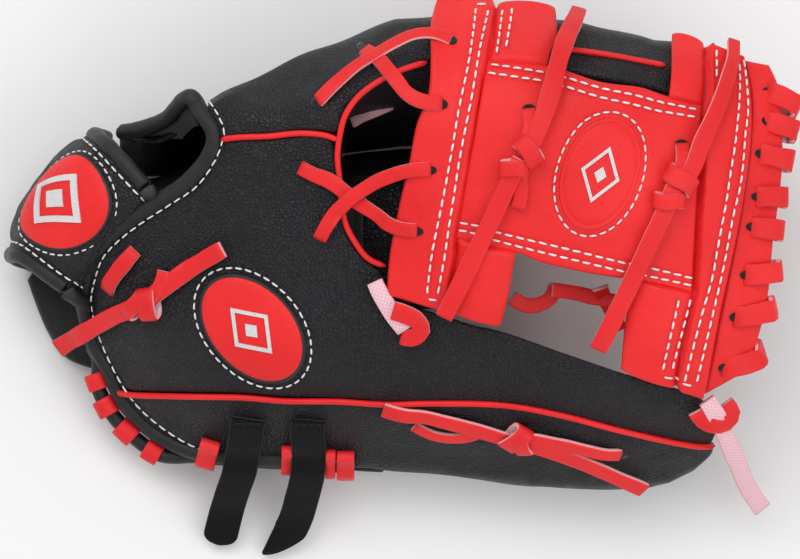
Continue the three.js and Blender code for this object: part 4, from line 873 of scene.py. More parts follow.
leather_sheet("palm_side_leather", skirt(-97, -21.6, 60, lambda x: yS(x) - 17.5), 1.6, [M_BLACK], slot="black_leather", roll=0.6, wave=0.4, seed=55, out=np.array([0, 1, 1.0]))
leather_sheet("pocket_side_leather", skirt(-21.8, 26, 40, lambda x: 48.3 - max(0, -x) * 0.12), 1.6, [M_BLACK], body=("shell", "fingers", (0, 0.036, 0), (0, 0.0485, 0)), slot="black_leather",
              roll=0.6, wave=0.4, seed=55, out=np.array([0, 1, 1.0]))
leather_sheet("palm_lining_sheet", palm_grid(7.2, -90, -14, 9), 1.4, [M_LINING], replaces=("palm_lining",), slot="lining", roll=0.7, wave=0.4, seed=52, out=np.array([0, 0, 1]))
pp = leather_sheet("palm_felt_pad", palm_grid(4.8, -88, -14, 9), 3.2, [M_PAD], replaces=("palm_pad",), slot="padding", roll=1.4, wave=0.3, seed=53, out=np.array([0, 0, 1]), puff=0.3)
hp = leather_sheet("heel_felt_pad", palm_grid(-3.4, -84, -50, 14), 6.0, [M_PAD], replaces=("heel_pad",), slot="padding", roll=2.0, wave=0.3, seed=54, out=np.array([0, 0, 1]), puff=0.4)
edge = spline([[84, 322], [88, 340], [98, 366], [116, 402], [142, 431], [176, 452], [205, 461], [250, 465.5], [300, 469], [384, 474]], 150)
g = []
for i in range(151):
    a, b = edge[i]
    t_ = edge[min(150, i + 2)] - edge[max(0, i - 2)]
    tx, ty = t_[0], -t_[1]
    L_ = math.hypot(tx, ty)
    ix, iy = -ty / L_, tx / L_
    x, y = float(gx(a)), float(gy(b))
    g.append(spline([[x + ix * d, y + iy * d, z] for d, z in [(-0.5, 14.5), (0.3, 11), (0.6, 8), (3.2, 3.2), (7, 0.35)]], 20))
HP = np.array(g)
leather_sheet("heel_palm_leather", HP, 2.2, [M_BLACK], replaces=("heel_palm_panel",), slot="black_leather", roll=1.0, wave=0.35, seed=61, out=np.array([-0.5, -1, 0]))
A_ = spline([[22, 280, 3.4], [30, 303, 4], [43, 334, 5], [60, 358, 7], [92, 371, 9.5]], 49)
B_ = spline([[104, 150, 3], [108, 200, 5], [112, 250, 9], [118, 300, 12], [120, 345, 12.5]], 49)
v = np.linspace(0, 1, 30)[None, :, None]
q = A_[:, None] * (1 - v) + B_[:, None] * v
leather_sheet("wrist_lining_sheet", np.stack([gx(q[..., 0]), gy(q[..., 1]), q[..., 2]], -1), 2.4, [M_LINING], replaces=("wrist_lining",), slot="lining", roll=0.9, wave=0.5, seed=62, out=np.array([0, 0, 1]))

# ------------------------------------------------------------------ wrist opening binding
main = spline(HEEL_EDGE[::-1] + OPENING[1:], 110)
mc = at(main[:, 0], main[:, 1], -0.5)
far = [[191, 97.5, 66.5], [184, 100, 63.5], [177, 107, 59], [168, 117, 54], [152, 125, 49], [133, 130, 45], [118, 132, 41]]
bc = spline(np.vstack([mc, [[float(gx(a)), float(gy(b)), z] for a, b, z in far]]), 420)
bn = normal_at(ga(bc[:, 0]), gb(bc[:, 1]))
fr = sstep((np.arange(len(bc)) - 345) / 40.0)[:, None]
bn = bn * (1 - fr) + np.array([0, 0.5, 0.87]) * fr
bw = wob(bc, 9, 4)
th = np.arange(20) / 20 * 2 * math.pi
bprof = np.stack([3.1 * np.cos(th), 2.8 * np.sin(th)], -1)
sc = np.stack([1 + 0.03 * bw, 1 + 0.04 * wob(bc, 6, 8)], -1)
sc[:2] *= 0.7
sc[-2:] *= 0.7
sweep("wrist_opening_roll", bc, bprof, bn, [M_BIND], replaces=("wrist_opening_binding",), slot="binding_leather", scale=sc)
sl, sn = line_on(BIND_STITCH, 0.1)
rim = spline(far[:6], 60)
rl = []
for a, b, z in rim:
    ye = max(float(gy(b + 27)), 51.2)
    y0 = float(gy(b))
    rl.append(spline([[gx(a), y0, z - 0.5], [gx(a + 3), y0 + (ye - y0) * 0.5, z - 4], [gx(a + 6), y0 + (ye - y0) * 0.9, z - 11], [gx(a + 8), ye, z - 20]], 26))
leather_sheet("opening_rim_lining", np.array(rl, float), 1.2, [M_LINING], slot="lining", roll=0.5, wave=0.4, seed=57, out=np.array([-0.6, -0.3, 0.8]))
stitches("binding_stitching", [(sl, sn)], dash=3.1, gap=1.0, r=0.33, lift=0.25)

# ------------------------------------------------------------------ wrist strap
STRAP = [
    [[168, 206, 61], [140, 172, 63.5], [112, 141, 57], [99, 129, 44], [97, 127, 30], [106, 130, 17]],
    [[150, 228, 58], [118, 199, 61], [82, 163, 54], [66, 150, 40], [64, 148, 26], [78, 152, 12]],
    [[128, 252, 53], [90, 227, 56], [52, 194, 49], [36, 184, 36], [34, 183, 22], [50, 188, 8]],
    [[104, 282, 46], [64, 256, 49], [28, 228, 42], [14, 221, 30], [12, 220, 17], [30, 226, 4]],
    [[86, 312, 37], [50, 287, 41], [18, 265, 35], [5, 262, 25], [4, 263, 13], [24, 272, 1.2]]]
SROW = [[[float(gx(a)), float(gy(b)), z] for a, b, z in r] for r in STRAP]


def crv(P, t):
    """Point on a smooth curve with the parameter even over its control points."""
    P = np.asarray(P, float)
    n = len(P) - 1
    t = np.clip(np.asarray(t, float), 0, 1) * n
    i = np.minimum(t.astype(int), n - 1)
    u = (t - i)[..., None]
    ext = np.vstack([2 * P[0] - P[1], P, 2 * P[-1] - P[-2]])
    p0, p1, p2, p3 = ext[i], ext[i + 1], ext[i + 2], ext[i + 3]
    return 0.5 * (2 * p1 + (p2 - p0) * u + (2 * p0 - 5 * p1 + 4 * p2 - p3) * u ** 2 + (3 * p1 - p0 - 3 * p2 + p3) * u ** 3)


def strap_at(u, v, off=0.0):
    """Points on the strap; u across 0..1 and v along 0..1 (1-D arrays of the same length)."""
    u, v = np.atleast_1d(np.asarray(u, float)), np.atleast_1d(np.asarray(v, float))

    def f(uu, vv):
        rows = np.stack([crv(r, vv) for r in SROW], 1)
        out = np.empty((len(uu), 3))
        for k in range(len(uu)):
            out[k] = crv(rows[k], uu[k])
        out[:, 2] -= 5.5 * (1 - sstep(vv / 0.13))
        return out
    p = f(u, v)
    e = 0.02
    du = f(np.clip(u + e, 0, 1), v) - f(np.clip(u - e, 0, 1), v)
    dv = f(u, np.clip(v + e, 0, 1)) - f(u, np.clip(v - e, 0, 1))
    n = np.cross(dv, du)
    n /= np.linalg.norm(n, axis=1, keepdims=True)
    n[(n @ np.array([-1, 0.6, 0.3])) < 0] *= -1
    return p + n * (np.asarray(off)[..., None] if np.ndim(off) else off), n


uu, vv = np.meshgrid(np.linspace(0.07, 0.93, 44), np.linspace(0, 1, 90), indexing="ij")
SP, SN = strap_at(uu.ravel(), vv.ravel())
SG = SP.reshape(44, 90, 3)


def strap_line(pts, off, n=60):
    q = spline(pts, n)
    return strap_at(q[:, 0], q[:, 1], off)


s_up = strap_line([[0.125, 0.02], [0.125, 0.98]], 0.0)
s_lo = strap_line([[0.875, 0.02], [0.875, 0.98]], 0.0)
leather_sheet("strap_leather", SG, 2.5, [M_BLACK], replaces=("wrist_strap",), slot="black_leather", roll=1.0, wave=0.5, wave_scale=26, seed=71, puff=0.6, puff_w=6,
              out=SN.reshape(44, 90, 3), grooves=[([s_up[0]], 0.5, 1.2), ([s_lo[0]], 0.5, 1.2)])
stitches("strap_stitching", [s_up, s_lo], lift=0.25, dash=2.9, gap=1.0)
for nm, u0, node in (("strap_upper_roll", 0.045, "strap_upper_binding"), ("strap_lower_roll", 0.955, "strap_lower_binding")):
    c, n_ = strap_at(np.full(90, u0), np.linspace(0, 1, 90), -1.0)
    sc = np.stack([1 + 0.04 * wob(c, 8, 3), 1 + 0.04 * wob(c, 7, 9)], -1)
    sweep(nm, c, np.stack([2.9 * np.cos(th), 2.4 * np.sin(th)], -1), n_, [M_BIND], replaces=(node,), slot="binding_leather", scale=sc)


def strap_disc(name, cu, cv, ru, rv, offs, qs, mats, ring_mat, t, n=72, **kw):
    rings, nors = [], []
    for q, o in zip(qs, offs):
        k = np.arange(n) / n * 2 * math.pi
        p, n_ = strap_at(cu + ru * q * np.sin(k), cv + rv * q * np.cos(k), o)
        rings.append(p)
        nors.append(n_)
    return disc(name, rings, mats, ring_mat, t, nors, **kw)


qs = [0.04, 0.2, 0.4, 0.6, 0.8, 0.9, 0.94, 0.97, 1.0]
strap_disc("strap_oval", 0.5, 0.365, 0.31, 0.215, [2.2, 2.2, 2.1, 2.0, 1.8, 1.55, 1.1, 1.2, 0.4], qs, [M_RED, M_RIM], [0, 0, 0, 0, 0, 0, 0, 1, 1], 0.8,
           replaces=("strap_patch",), slot="red_leather")
k = np.linspace(0, 2 * math.pi, 110)
stitches("strap_oval_stitching", [strap_at(0.5 + 0.335 * np.sin(k), 0.365 + 0.235 * np.cos(k), 0.1)], lift=0.25, dash=2.4, gap=0.9, r=0.34)


def flat_mark(name, pts, place, t=0.5, mat=M_MARK, **kw):
    """A thin raised mark from closed plan outlines: pts = list of (outer ring, inner ring) strips, placed by place(uv) -> (points, normals)."""
    V, F = [], []
    for outer, inner_ in pts:
        o, no = place(np.asarray(outer, float))
        i_, ni = place(np.asarray(inner_, float))
        m, b = len(o), len(V)
        V += list(o + no * t) + list(i_ + ni * t) + list(o - no * 0.3) + list(i_ - ni * 0.3)
        for k in range(m):
            l = (k + 1) % m
            F += [[b + k, b + l, b + m + l, b + m + k], [b + 2 * m + k, b + 3 * m + k, b + 3 * m + l, b + 2 * m + l],
                  [b + k, b + 2 * m + k, b + 2 * m + l, b + l], [b + m + k, b + m + l, b + 3 * m + l, b + 3 * m + k]]
    return fix_out(make(name, V, F, [mat], smooth=False, **kw))


def closed_poly(pts, per=10):
    pts = np.asarray(pts, float)
    out = []
    for p, q in zip(pts, np.roll(pts, -1, 0)):
        out += [p + (q - p) * s / per for s in range(per)]
    return np.array(out)


def diamond(ru, rv, w, cu=0.0, cv=0.0):
    o = closed_poly([[cu + ru, cv], [cu, cv + rv], [cu - ru, cv], [cu, cv - rv]])
    i_ = closed_poly([[cu + ru - w, cv], [cu, cv + rv - w * rv / ru], [cu - ru + w, cv], [cu, cv - rv + w * rv / ru]])
    return o, i_


def strap_place(o): return strap_at(0.5 + o[:, 0] * 0.0125, 0.365 + o[:, 1] * 0.0088, 2.15)


flat_mark("strap_mark", [diamond(15, 15, 4.0), diamond(5.5, 5.5, 5.3)], strap_place, slot="red_leather")


# ------------------------------------------------------------------ oval patches with a plain diamond
def oval(name, ca, cb, ra, rb, tilt, offs, qs, mats, ring_mat, t, n=110, **kw):
    rings, nors = [], []
    for q, o in zip(qs, offs):
        e = ellipse(ca, cb, ra * q, rb * q, tilt, n)[:-1]
        rings.append(at(e[:, 0], e[:, 1], o))
        nors.append(normal_at(e[:, 0], e[:, 1]))
    return disc(name, rings, mats, ring_mat, t, nors, **kw)


qs = [0.03, 0.2, 0.4, 0.6, 0.75, 0.85, 0.9, 0.925, 0.945, 0.97, 1.0]
oval("thumb_oval", 253, 328, 64, 43, 0.82, [2.5, 2.5, 2.45, 2.3, 2.1, 1.9, 1.55, 1.25, 1.45, 1.3, 0.3], qs, [M_RED, M_RIM], [0] * 8 + [1, 1, 1], 0.9, body=THUMB,
     replaces=("thumb_patch",), slot="red_leather")
stitches("thumb_oval_stitching", [(at(thumb_ring[:, 0], thumb_ring[:, 1], 0.0), normal_at(thumb_ring[:, 0], thumb_ring[:, 1]))], lift=0.3, dash=2.7, gap=0.95, r=0.38, body=THUMB)


def form_place(ca, cb, tilt, off):
    def f(o):
        a = ca + o[:, 0] * math.cos(tilt) - o[:, 1] * math.sin(tilt)
        b = cb + o[:, 0] * math.sin(tilt) + o[:, 1] * math.cos(tilt)
        return at(a, b, off), normal_at(a, b)
    return f


flat_mark("thumb_mark", [diamond(30, 22, 6.0), diamond(9, 7, 8.6)], form_place(253, 328, 0.82, 2.42), body=THUMB, slot="red_leather")

# ------------------------------------------------------------------ pipings
tube_on("lower_piping", [[112, 391.5], [122, 394.5], [180, 396.5], [244, 397.6], [284, 400.8], [339, 401.4], [386, 404.2], [427, 403.2], [504, 405], [561, 415], [619, 430], [677, 443], [702, 446.6], [716, 446]],
        1.15, [M_PIPE], 0.25, n=240, body=THUMB, replaces=("heel_side_piping", "thumb_piping"), slot="red_leather")
tube_on("upper_piping_cord", UPPER_SEAM, 1.1, [M_PIPE], 0.35, n=60, replaces=("upper_piping",), slot="red_leather")
tube_on("crotch_piping_cord", CROTCH, 1.1, [M_PIPE], 0.25, n=90, replaces=("crotch_piping",), slot="red_leather")
tube_on("index_piping_cord", [[556, 51.5], [576, 53], [604, 57], [640, 63.5], [664, 68]], 1.1, [M_PIPE], 0.6, n=50, replaces=("index_piping",), slot="red_leather")

# ------------------------------------------------------------------ web
FOLD_N = [[496, 8], [492, 45], [489, 64], [484, 86], [477, 127], [469, 174], [462, 210], [457, 234], [457, 250], [452, 285], [447, 322]]
FOLD_F = [[703, 40], [699, 108], [695, 200], [691, 292], [681, 340], [675, 376]]
P_TOP = [[487, 67], [546, 72], [600, 87], [640, 92], [661, 98], [697, 108]]
P_BOT = [[455, 237], [488, 246], [518, 251], [537, 259], [587, 271], [617, 276], [636, 279], [689, 292]]


def by_b(table, b):
    t = np.array(table, float)
    return np.interp(b, t[:, 1], t[:, 0])


def inpanel(a, b):
    return sstep((b - y_at(P_TOP, a) + 1) / 6) * sstep((y_at(P_BOT, a) + 1 - b) / 6)


def post_grid(Lp, Rp, nu, nv, f):
    a, b = spline(Lp, nu - 1), spline(Rp, nu - 1)
    v = np.linspace(0, 1, nv)[None, :, None]
    p = a[:, None] * (1 - v) + b[:, None] * v
    return at(p[..., 0], p[..., 1], f(p[..., 0], p[..., 1]))


def near_off(a, b):
    fo, R = by_b(FOLD_N, b), by_b(NEAR_R, b)
    w = np.clip((a - fo) / np.maximum(R - fo, 1), 0, 1)
    roll = np.sqrt(np.maximum(0, 1 - (2 * w - 1) ** 2))
    free = 2.4 + 3.7 * roll
    right = free * (1 - inpanel(a, b)) + 0.9 * inpanel(a, b)
    s = sstep((a - fo + 3.2) / 3.4)
    groove = -1.5 * np.exp(-((a - fo) / 1.8) ** 2)
    return 5.6 * (1 - s) + right * s + groove * (1 - inpanel(a, b))


def far_off(a, b):
    fo, L_ = by_b(FOLD_F, b), by_b(FAR_L, b)
    w = np.clip((a - L_) / np.maximum(fo - L_, 1), 0, 1)
    roll = np.sqrt(np.maximum(0, 1 - (2 * w - 1) ** 2))
    left = (2.4 + 3.5 * roll) * (1 - inpanel(a, b)) + 0.9 * inpanel(a, b)
    s = sstep((a - fo + 0.2) / 3.4)
    groove = -1.5 * np.exp(-((a - fo) / 1.8) ** 2)
    return left * (1 - s) + 5.6 * s + groove * (1 - inpanel(a, b))


N1 = [[476, 20], [469, 75], [459, 118], [451, 166], [443, 209], [435, 254], [430, 290]]
N2 = [[488, 22], [481, 58], [475, 94], [465, 139], [455, 200], [446, 258], [440, 290]]
F1 = [[729, 60], [732, 89], [728, 131], [721, 177], [718, 200], [711, 244], [706, 276], [698, 307], [689, 343], [682, 374]]
F2 = [[736, 66], [740, 87], [740, 115], [736, 138], [731, 185], [724, 218], [717, 263], [710, 299], [702, 333], [692, 374]]
NS1, NS2 = [[501.6, 20], [497, 64]], [[511, 20], [506, 60]]
FS1, FS2 = [[675, 296], [662, 364]], [[687, 296], [671, 364]]


def on(path, f, n=None, extra=0.0):
    p = spline(path, n or max(6, int(length(np.array(path, float)) / 3)))
    return at(p[:, 0], p[:, 1], f(p[:, 0], p[:, 1]) + extra), normal_at(p[:, 0], p[:, 1])


near_lines = [on(q, near_off) for q in (N1, N2, NS1, NS2)]
far_lines = [on(q, far_off) for q in (F1, F2, FS1, FS2, [[709, 58], [707, 86]])]
leather_sheet("near_post_leather", post_grid(NEAR_L, NEAR_R, 150, 60, near_off), 2.2, [M_RED], replaces=("web_near_post",), slot="red_leather", roll=1.5, wave=0.3, wave_scale=30, seed=81,
              grooves=[([q[0] for q in near_lines], 0.45, 1.0)], out=np.array([0, 0, 1]))
leather_sheet("far_post_leather", post_grid(FAR_L, FAR_R, 150, 46, far_off), 2.2, [M_RED], replaces=("web_far_post",), slot="red_leather", roll=1.5, wave=0.3, wave_scale=30, seed=82,
              grooves=[([q[0] for q in far_lines], 0.45, 1.0)], out=np.array([0, 0, 1]))
stitches("near_post_stitching", near_lines + [on([[477, 20], [481, 17], [486, 20]], near_off), on([[430, 294], [440, 295]], near_off)], lift=0.25, r=0.42)
stitches("far_post_stitching", far_lines + [on([[662, 369], [689, 377]], far_off)], lift=0.25, r=0.42)


def panel_off(a, b):
    return 3.4 + 0.5 * np.sin(np.clip((a - 455) / 240, 0, 1) * math.pi) + 0.0 * b


G = drape_grid(P_TOP, P_BOT, 150, 90)
a_, b_ = ga(G[..., 0]), gb(G[..., 1])
pa, pb = spline(P_TOP, 149), spline(P_BOT, 149)
vv_ = np.linspace(0, 1, 90)[None, :, None]
pq = pa[:, None] * (1 - vv_) + pb[:, None] * vv_
G = at(pq[..., 0], pq[..., 1], panel_off(pq[..., 0], pq[..., 1]))
T1 = [[490, 71.5], [544, 80], [564, 84], [604, 94], [647, 102], [692, 113]]
T2 = [[487, 79], [542, 87], [565, 92], [600, 101], [645, 110], [691, 120]]
U1 = [[459, 221], [477, 224], [497, 230], [560, 245], [623, 261], [643, 265], [690, 277]]
U2 = [[458, 228.5], [469, 230], [496, 238], [560, 254], [621, 269], [641, 273], [689, 284]]
panel_lines = [on(q, panel_off) for q in (T1, T2, U1, U2)]
oval_ring = ellipse(597, 174, 62, 42.5, -1.25)
ov = (at(oval_ring[:, 0], oval_ring[:, 1], panel_off(oval_ring[:, 0], oval_ring[:, 1])), normal_at(oval_ring[:, 0], oval_ring[:, 1]))
leather_sheet("cross_panel_leather", G, 2.0, [M_RED], replaces=("web_cross_panel",), slot="red_leather", roll=1.0, wave=0.3, wave_scale=36, seed=83,
              grooves=[([q[0] for q in panel_lines], 0.45, 1.0), ([ov[0]], 0.5, 1.0)], out=np.array([0, 0, 1]))
stitches("cross_panel_stitching", panel_lines, lift=0.25, r=0.42)
stitches("web_oval_stitching", [ov], lift=0.25, dash=2.6, gap=0.95, r=0.38)
qs = [0.03, 0.2, 0.4, 0.6, 0.75, 0.84, 0.88, 0.9, 0.92, 0.95, 0.98, 1.0]
oval("web_oval", 597, 174, 57, 38, -1.25, [4.9, 4.9, 4.85, 4.75, 4.65, 4.55, 4.3, 4.05, 4.3, 4.6, 4.35, 3.7], qs, [M_RED, M_RIM], [0] * 12, 0.9,
     replaces=("web_patch",), slot="red_leather")
flat_mark("web_mark", [diamond(29, 20, 5.5), diamond(8.5, 6.5, 8.2)], form_place(597, 174, -1.25, 4.82), slot="red_leather")

strip = post_grid([[a + 1.5, b] for a, b in FAR_R], STRIP_R, 130, 26, lambda a, b: 2.9 + 0 * a)
leather_sheet("outer_strip_leather", strip, 3.0, [M_RED], replaces=("outer_lacing_strip",), slot="red_leather", roll=1.5, wave=0.4, wave_scale=18, seed=84, out=np.array([0, 0, 1]))


# ------------------------------------------------------------------ laces
# dark disc at a lace hole: painted shade standing in for the hole's depth, not a part of the glove
def hole(name, a, b, ra, rb, tilt, off, body="shell"):
    e = [ellipse(a, b, ra * q, rb * q, tilt, 20)[:-1] for q in (0.1, 0.6, 1.0)]
    return disc(name, [at(q[:, 0], q[:, 1], off) for q in e], [M_HOLE_SHADE], [0, 0, 0], 0.5, [normal_at(q[:, 0], q[:, 1]) for q in e], body=body)


def band(name, a, b, off, ang, ra, rb, w=6.0, t=1.7, lean=0.0, body="shell", replaces=(), seed=0):
    """A lace wound once round another, as in a knot: closed loop across the direction ang (plan, radians, y down)."""
    c0 = at(a, b, off)
    n = normal_at(np.array([a]), np.array([b]))[0]
    d = np.array([math.cos(ang), -math.sin(ang), 0.0])
    d -= n * (d @ n)
    d /= np.linalg.norm(d)
    s = np.cross(n, d)
    s2 = s * math.cos(lean) + d * math.sin(lean)
    k = np.arange(44) / 44 * 2 * math.pi
    wv = 1 + 0.04 * np.sin(3 * k + seed)
    c = c0 + s2 * (ra * np.cos(k) * wv)[:, None] + n * (rb * np.sin(k))[:, None] + d * (0.5 * np.sin(2 * k + seed))[:, None]
    up = s2 * np.cos(k)[:, None] * rb + n * np.sin(k)[:, None] * ra
    up /= np.linalg.norm(up, axis=1, keepdims=True)
    prof, pm = lace_profile(w, t)
    return sweep(name, c, prof, up, [M_LACE, M_EDGE, M_SUEDE], body=body, replaces=replaces, slot="rawhide_lace", closed=True, prof_mat=pm)


WL = 6.6
# knot lace a, over the near side of the cross panel
lace_on("knot_a_upper_tail", [[577, 16], [570, 36], [560, 62], [549, 92], [541, 118], [532, 140], [524, 156]], [2.0, 5.0, 7.0, 6.6, 6.4, 6.8, 7.0], w=WL, replaces=("web_knot_lace_a",), seed=1, scale=[0.85, 1, 1, 1, 1.02, 1, 0.9])
lace_on("knot_a_lower_tail", [[520, 158], [510, 178], [500, 200], [489, 223], [478, 245], [466, 270], [456, 290], [446, 309]], [7.4, 6.6, 6.4, 6.3, 6.3, 6.4, 6.8, 7.2], w=WL, seed=2, scale=[0.95, 1, 1, 1, 1, 1, 0.98, 0.95])
band("knot_a_wrap", 527, 150, 7.4, 2.0, 5.2, 3.3, w=6.4, lean=0.5, seed=1)
band("knot_a_wrap_low", 514, 167, 7.0, 2.0, 4.8, 2.7, w=5.6, lean=-0.35, seed=2)
lace_on("knot_a_stub", [[527, 112], [528, 124], [526, 138], [521, 150]], [3.6, 5.4, 6.6, 7.0], w=4.6, seed=3)
lace_on("knot_a_tab", [[512, 166], [519, 180], [520, 194], [517, 206]], [5.6, 5.2, 5.0, 5.0], w=5.2, seed=4)
hole("knot_a_hole", 527, 111, 6, 4, 0.0, 4.4)
# knot lace b
lace_on("knot_b_upper_tail", [[727, 50], [720, 74], [711, 100], [702, 124], [693, 146], [686, 166], [676, 182]], [5.0, 7.2, 7.4, 7.2, 7.0, 7.2, 7.2], w=6.2, replaces=("web_knot_lace_b",), seed=5, scale=[0.7, 0.8, 0.9, 0.95, 1, 1, 1])
lace_on("knot_b_lower_tail", [[668, 186], [660, 210], [650, 232], [640, 254], [630, 276], [619, 300], [609, 321], [598, 342]], [7.2, 6.4, 6.0, 5.6, 5.4, 6.0, 6.0, 5.2], w=WL, seed=6)
band("knot_b_wrap", 674, 180, 7.4, 2.0, 5.6, 3.3, w=6.6, lean=0.2, seed=3)
band("knot_b_wrap_low", 664, 200, 6.9, 2.0, 5.0, 2.7, w=5.6, lean=-0.4, seed=4)
lace_on("knot_b_stub", [[677, 146], [677, 156], [675, 168], [672, 178]], [3.6, 5.6, 6.4, 7.0], w=4.8, seed=7)
hole("knot_b_hole", 677, 145, 6, 4, 0.0, 4.3)

# crossed laces over the crotch
cl = dict(w=5.3, t=1.5)
lace_on("crotch_lace_one", [[319, 102], [330, 95], [346, 82], [361, 71], [379, 62], [396, 54], [412, 49], [432, 48], [451, 51]], [-0.4, 1.6, 1.8, 2.0, 2.6, 3.6, 5.2, 6.0, 5.2], replaces=("crotch_lace_1",), seed=11, **cl)
lace_on("crotch_lace_two", [[366, 53], [377, 60], [389, 74], [398, 86], [406, 96], [420, 104], [442, 107]], [0.4, 1.0, 3.4, 4.6, 5.0, 6.0, 5.0], replaces=("crotch_lace_2",), seed=12, **cl)
lace_on("crotch_lace_three", [[301, 168], [314, 174], [330, 180], [342, 188], [353, 197], [366, 205], [379, 212], [392, 219], [406, 224], [421, 227]], [-0.4, 1.6, 1.8, 1.8, 1.8, 2.2, 3.2, 5.6, 6.2, 5.0], replaces=("crotch_lace_3",), seed=13, **cl)
lace_on("crotch_lace_four", [[320, 239], [327, 226], [336, 213], [345, 204], [354, 196], [366, 188], [379, 180], [392, 174], [410, 168], [432, 168]], [-0.4, 1.8, 2.4, 3.6, 4.4, 4.4, 4.6, 5.4, 6.4, 5.0], replaces=("crotch_lace_4",), seed=14, **cl)
q = np.array([[float(gx(a)), float(gy(b)), z] for a, b, z in [[352, 121, 58], [362, 115, 61], [374, 110, 63], [390, 103, 62]]])
lace("crotch_inner_lace", q, [0, 0.25, 1], w=5.4, t=1.6, n=30, flip=True, seed=75)
for i, (a, b, o) in enumerate([(318, 103, 0.75), (363, 50, 0.75), (299, 167, 0.75), (319, 242, 0.75), (451, 52, 5.9), (442, 108, 5.9), (421, 228, 5.9), (432, 169, 5.9)]):
    hole("crotch_hole_%d" % i, a, b, 6.5, 4.5, (-0.7, 0.8, 0.5, -1.1, 0.2, 0.1, 0.2, 0)[i], o)

# wrist knot lace and its slot segment
lace_on("wrist_lace_left", [[60, 345], [72, 338], [85, 331], [100, 323], [115, 315], [130, 309], [146, 304]], [2.0, 1.6, 2.6, 1.4, 1.2, 1.8, 2.4], w=WL, replaces=("wrist_knot_lace",), seed=21)
lace_on("wrist_lace_right", [[140, 308], [152, 298], [164, 288], [178, 278], [192, 268], [207, 259], [226, 248]], [2.2, 1.6, 1.4, 1.2, 1.2, 1.5, 2.2], w=WL, seed=22, scale=[1, 1, 1, 1, 1, 1, 0.9])
band("wrist_knot_wrap", 152, 302, 2.4, -0.5, 5.2, 3.2, w=6.6, lean=0.4, seed=5)
band("wrist_knot_wrap_two", 138, 304, 2.2, 0.9, 5.0, 3.0, w=5.8, lean=-0.2, seed=6)
lace_on("wrist_knot_stub", [[150, 304], [158, 292], [164, 280], [166, 270]], [2.4, 2.2, 1.6, 1.2], w=4.6, seed=23)
lace_on("wrist_slot_segment", [[108, 290], [112, 281], [120, 270], [128, 260], [136, 250]], [-0.3, 1.2, 1.6, 1.2, -0.2], w=5.6, replaces=("wrist_slot_lace",), seed=24)
hole("wrist_slot_hole", 109, 290, 6, 4, 0.8, 0.4)
hole("wrist_slot_hole_far", 135, 251, 7, 4, -0.7, 0.4)

# thumb knot lace, along the side of the thumb
lace_on("thumb_lace_left", [[384, 406], [405, 411], [425, 413], [445, 418], [465, 423], [485, 428], [508, 434]], [1.2, 1.6, 1.4, 1.3, 1.4, 1.6, 2.2], w=6.0, body=THUMB, replaces=("thumb_knot_lace",), seed=31)
lace_on("thumb_lace_low_tail", [[510, 434], [530, 440], [550, 447], [575, 456], [600, 466], [622, 475], [645, 484]], [2.4, 1.8, 1.4, 1.3, 1.4, 1.8, 2.4], w=6.4, body=THUMB, seed=32)
lace_on("thumb_lace_slot_tail", [[512, 433], [535, 435], [560, 440], [585, 446], [605, 451], [621, 454]], [2.4, 1.6, 1.3, 1.2, 1.0, -0.4], w=5.2, body=THUMB, seed=33)
lace_on("thumb_lace_under_loop", [[414, 425], [432, 432], [450, 435], [468, 434], [486, 428]], [-0.2, 0.7, 0.9, 0.8, 0.2], w=4.2, body=THUMB, seed=34)
band("thumb_knot_wrap", 516, 433, 2.6, 0.25, 5.4, 3.1, w=6.6, lean=0.5, body=THUMB, seed=7)
band("thumb_knot_wrap_two", 524, 438, 2.4, 0.4, 4.8, 2.8, w=5.4, lean=-0.45, body=THUMB, seed=8)
hole("thumb_slot_hole", 622, 454, 7, 4, 0.3, 0.35, body=THUMB)

# web base lace: suede-side tail and a loop
lace_on("web_base_tail", [[376, 279], [383, 292], [391, 305], [399, 317], [406, 327]], [2.8, 3.6, 3.4, 3.2, 2.8], w=6.0, replaces=("web_base_lace",), flip=True, seed=41)
lace_on("web_base_loop", [[396, 306], [408, 310], [419, 316], [423, 326], [414, 334], [403, 333]], [5.4, 4.8, 4.2, 3.6, 3.0, 2.2], w=6.4, seed=42)
hole("web_base_hole", 409, 322, 6, 5, 0.5, 1.2)

# thumb-tip lace: a loop over the web's lower corner, and a tail with its flesh side up
tip = [[706, 400, 68], [714, 412, 65], [722, 427, 59], [730, 445, 52], [739, 464, 43], [750, 488, 30], [766, 511, 16]]
tp = np.array([[float(gx(a)), float(gy(b)), z] for a, b, z in tip])
lace("thumb_tip_tail", tp, [0.35, -0.45, 0.8], w=6.6, t=1.7, flip=True, replaces=("thumb_tip_lace",), body=THUMB, seed=51)
lace_on("thumb_tip_loop", [[694, 405], [700, 412], [710, 415], [721, 413], [727, 405], [722, 398]], [2.5, 4.0, 5.0, 5.0, 4.0, 2.0], w=6.2, body=THUMB, seed=52)

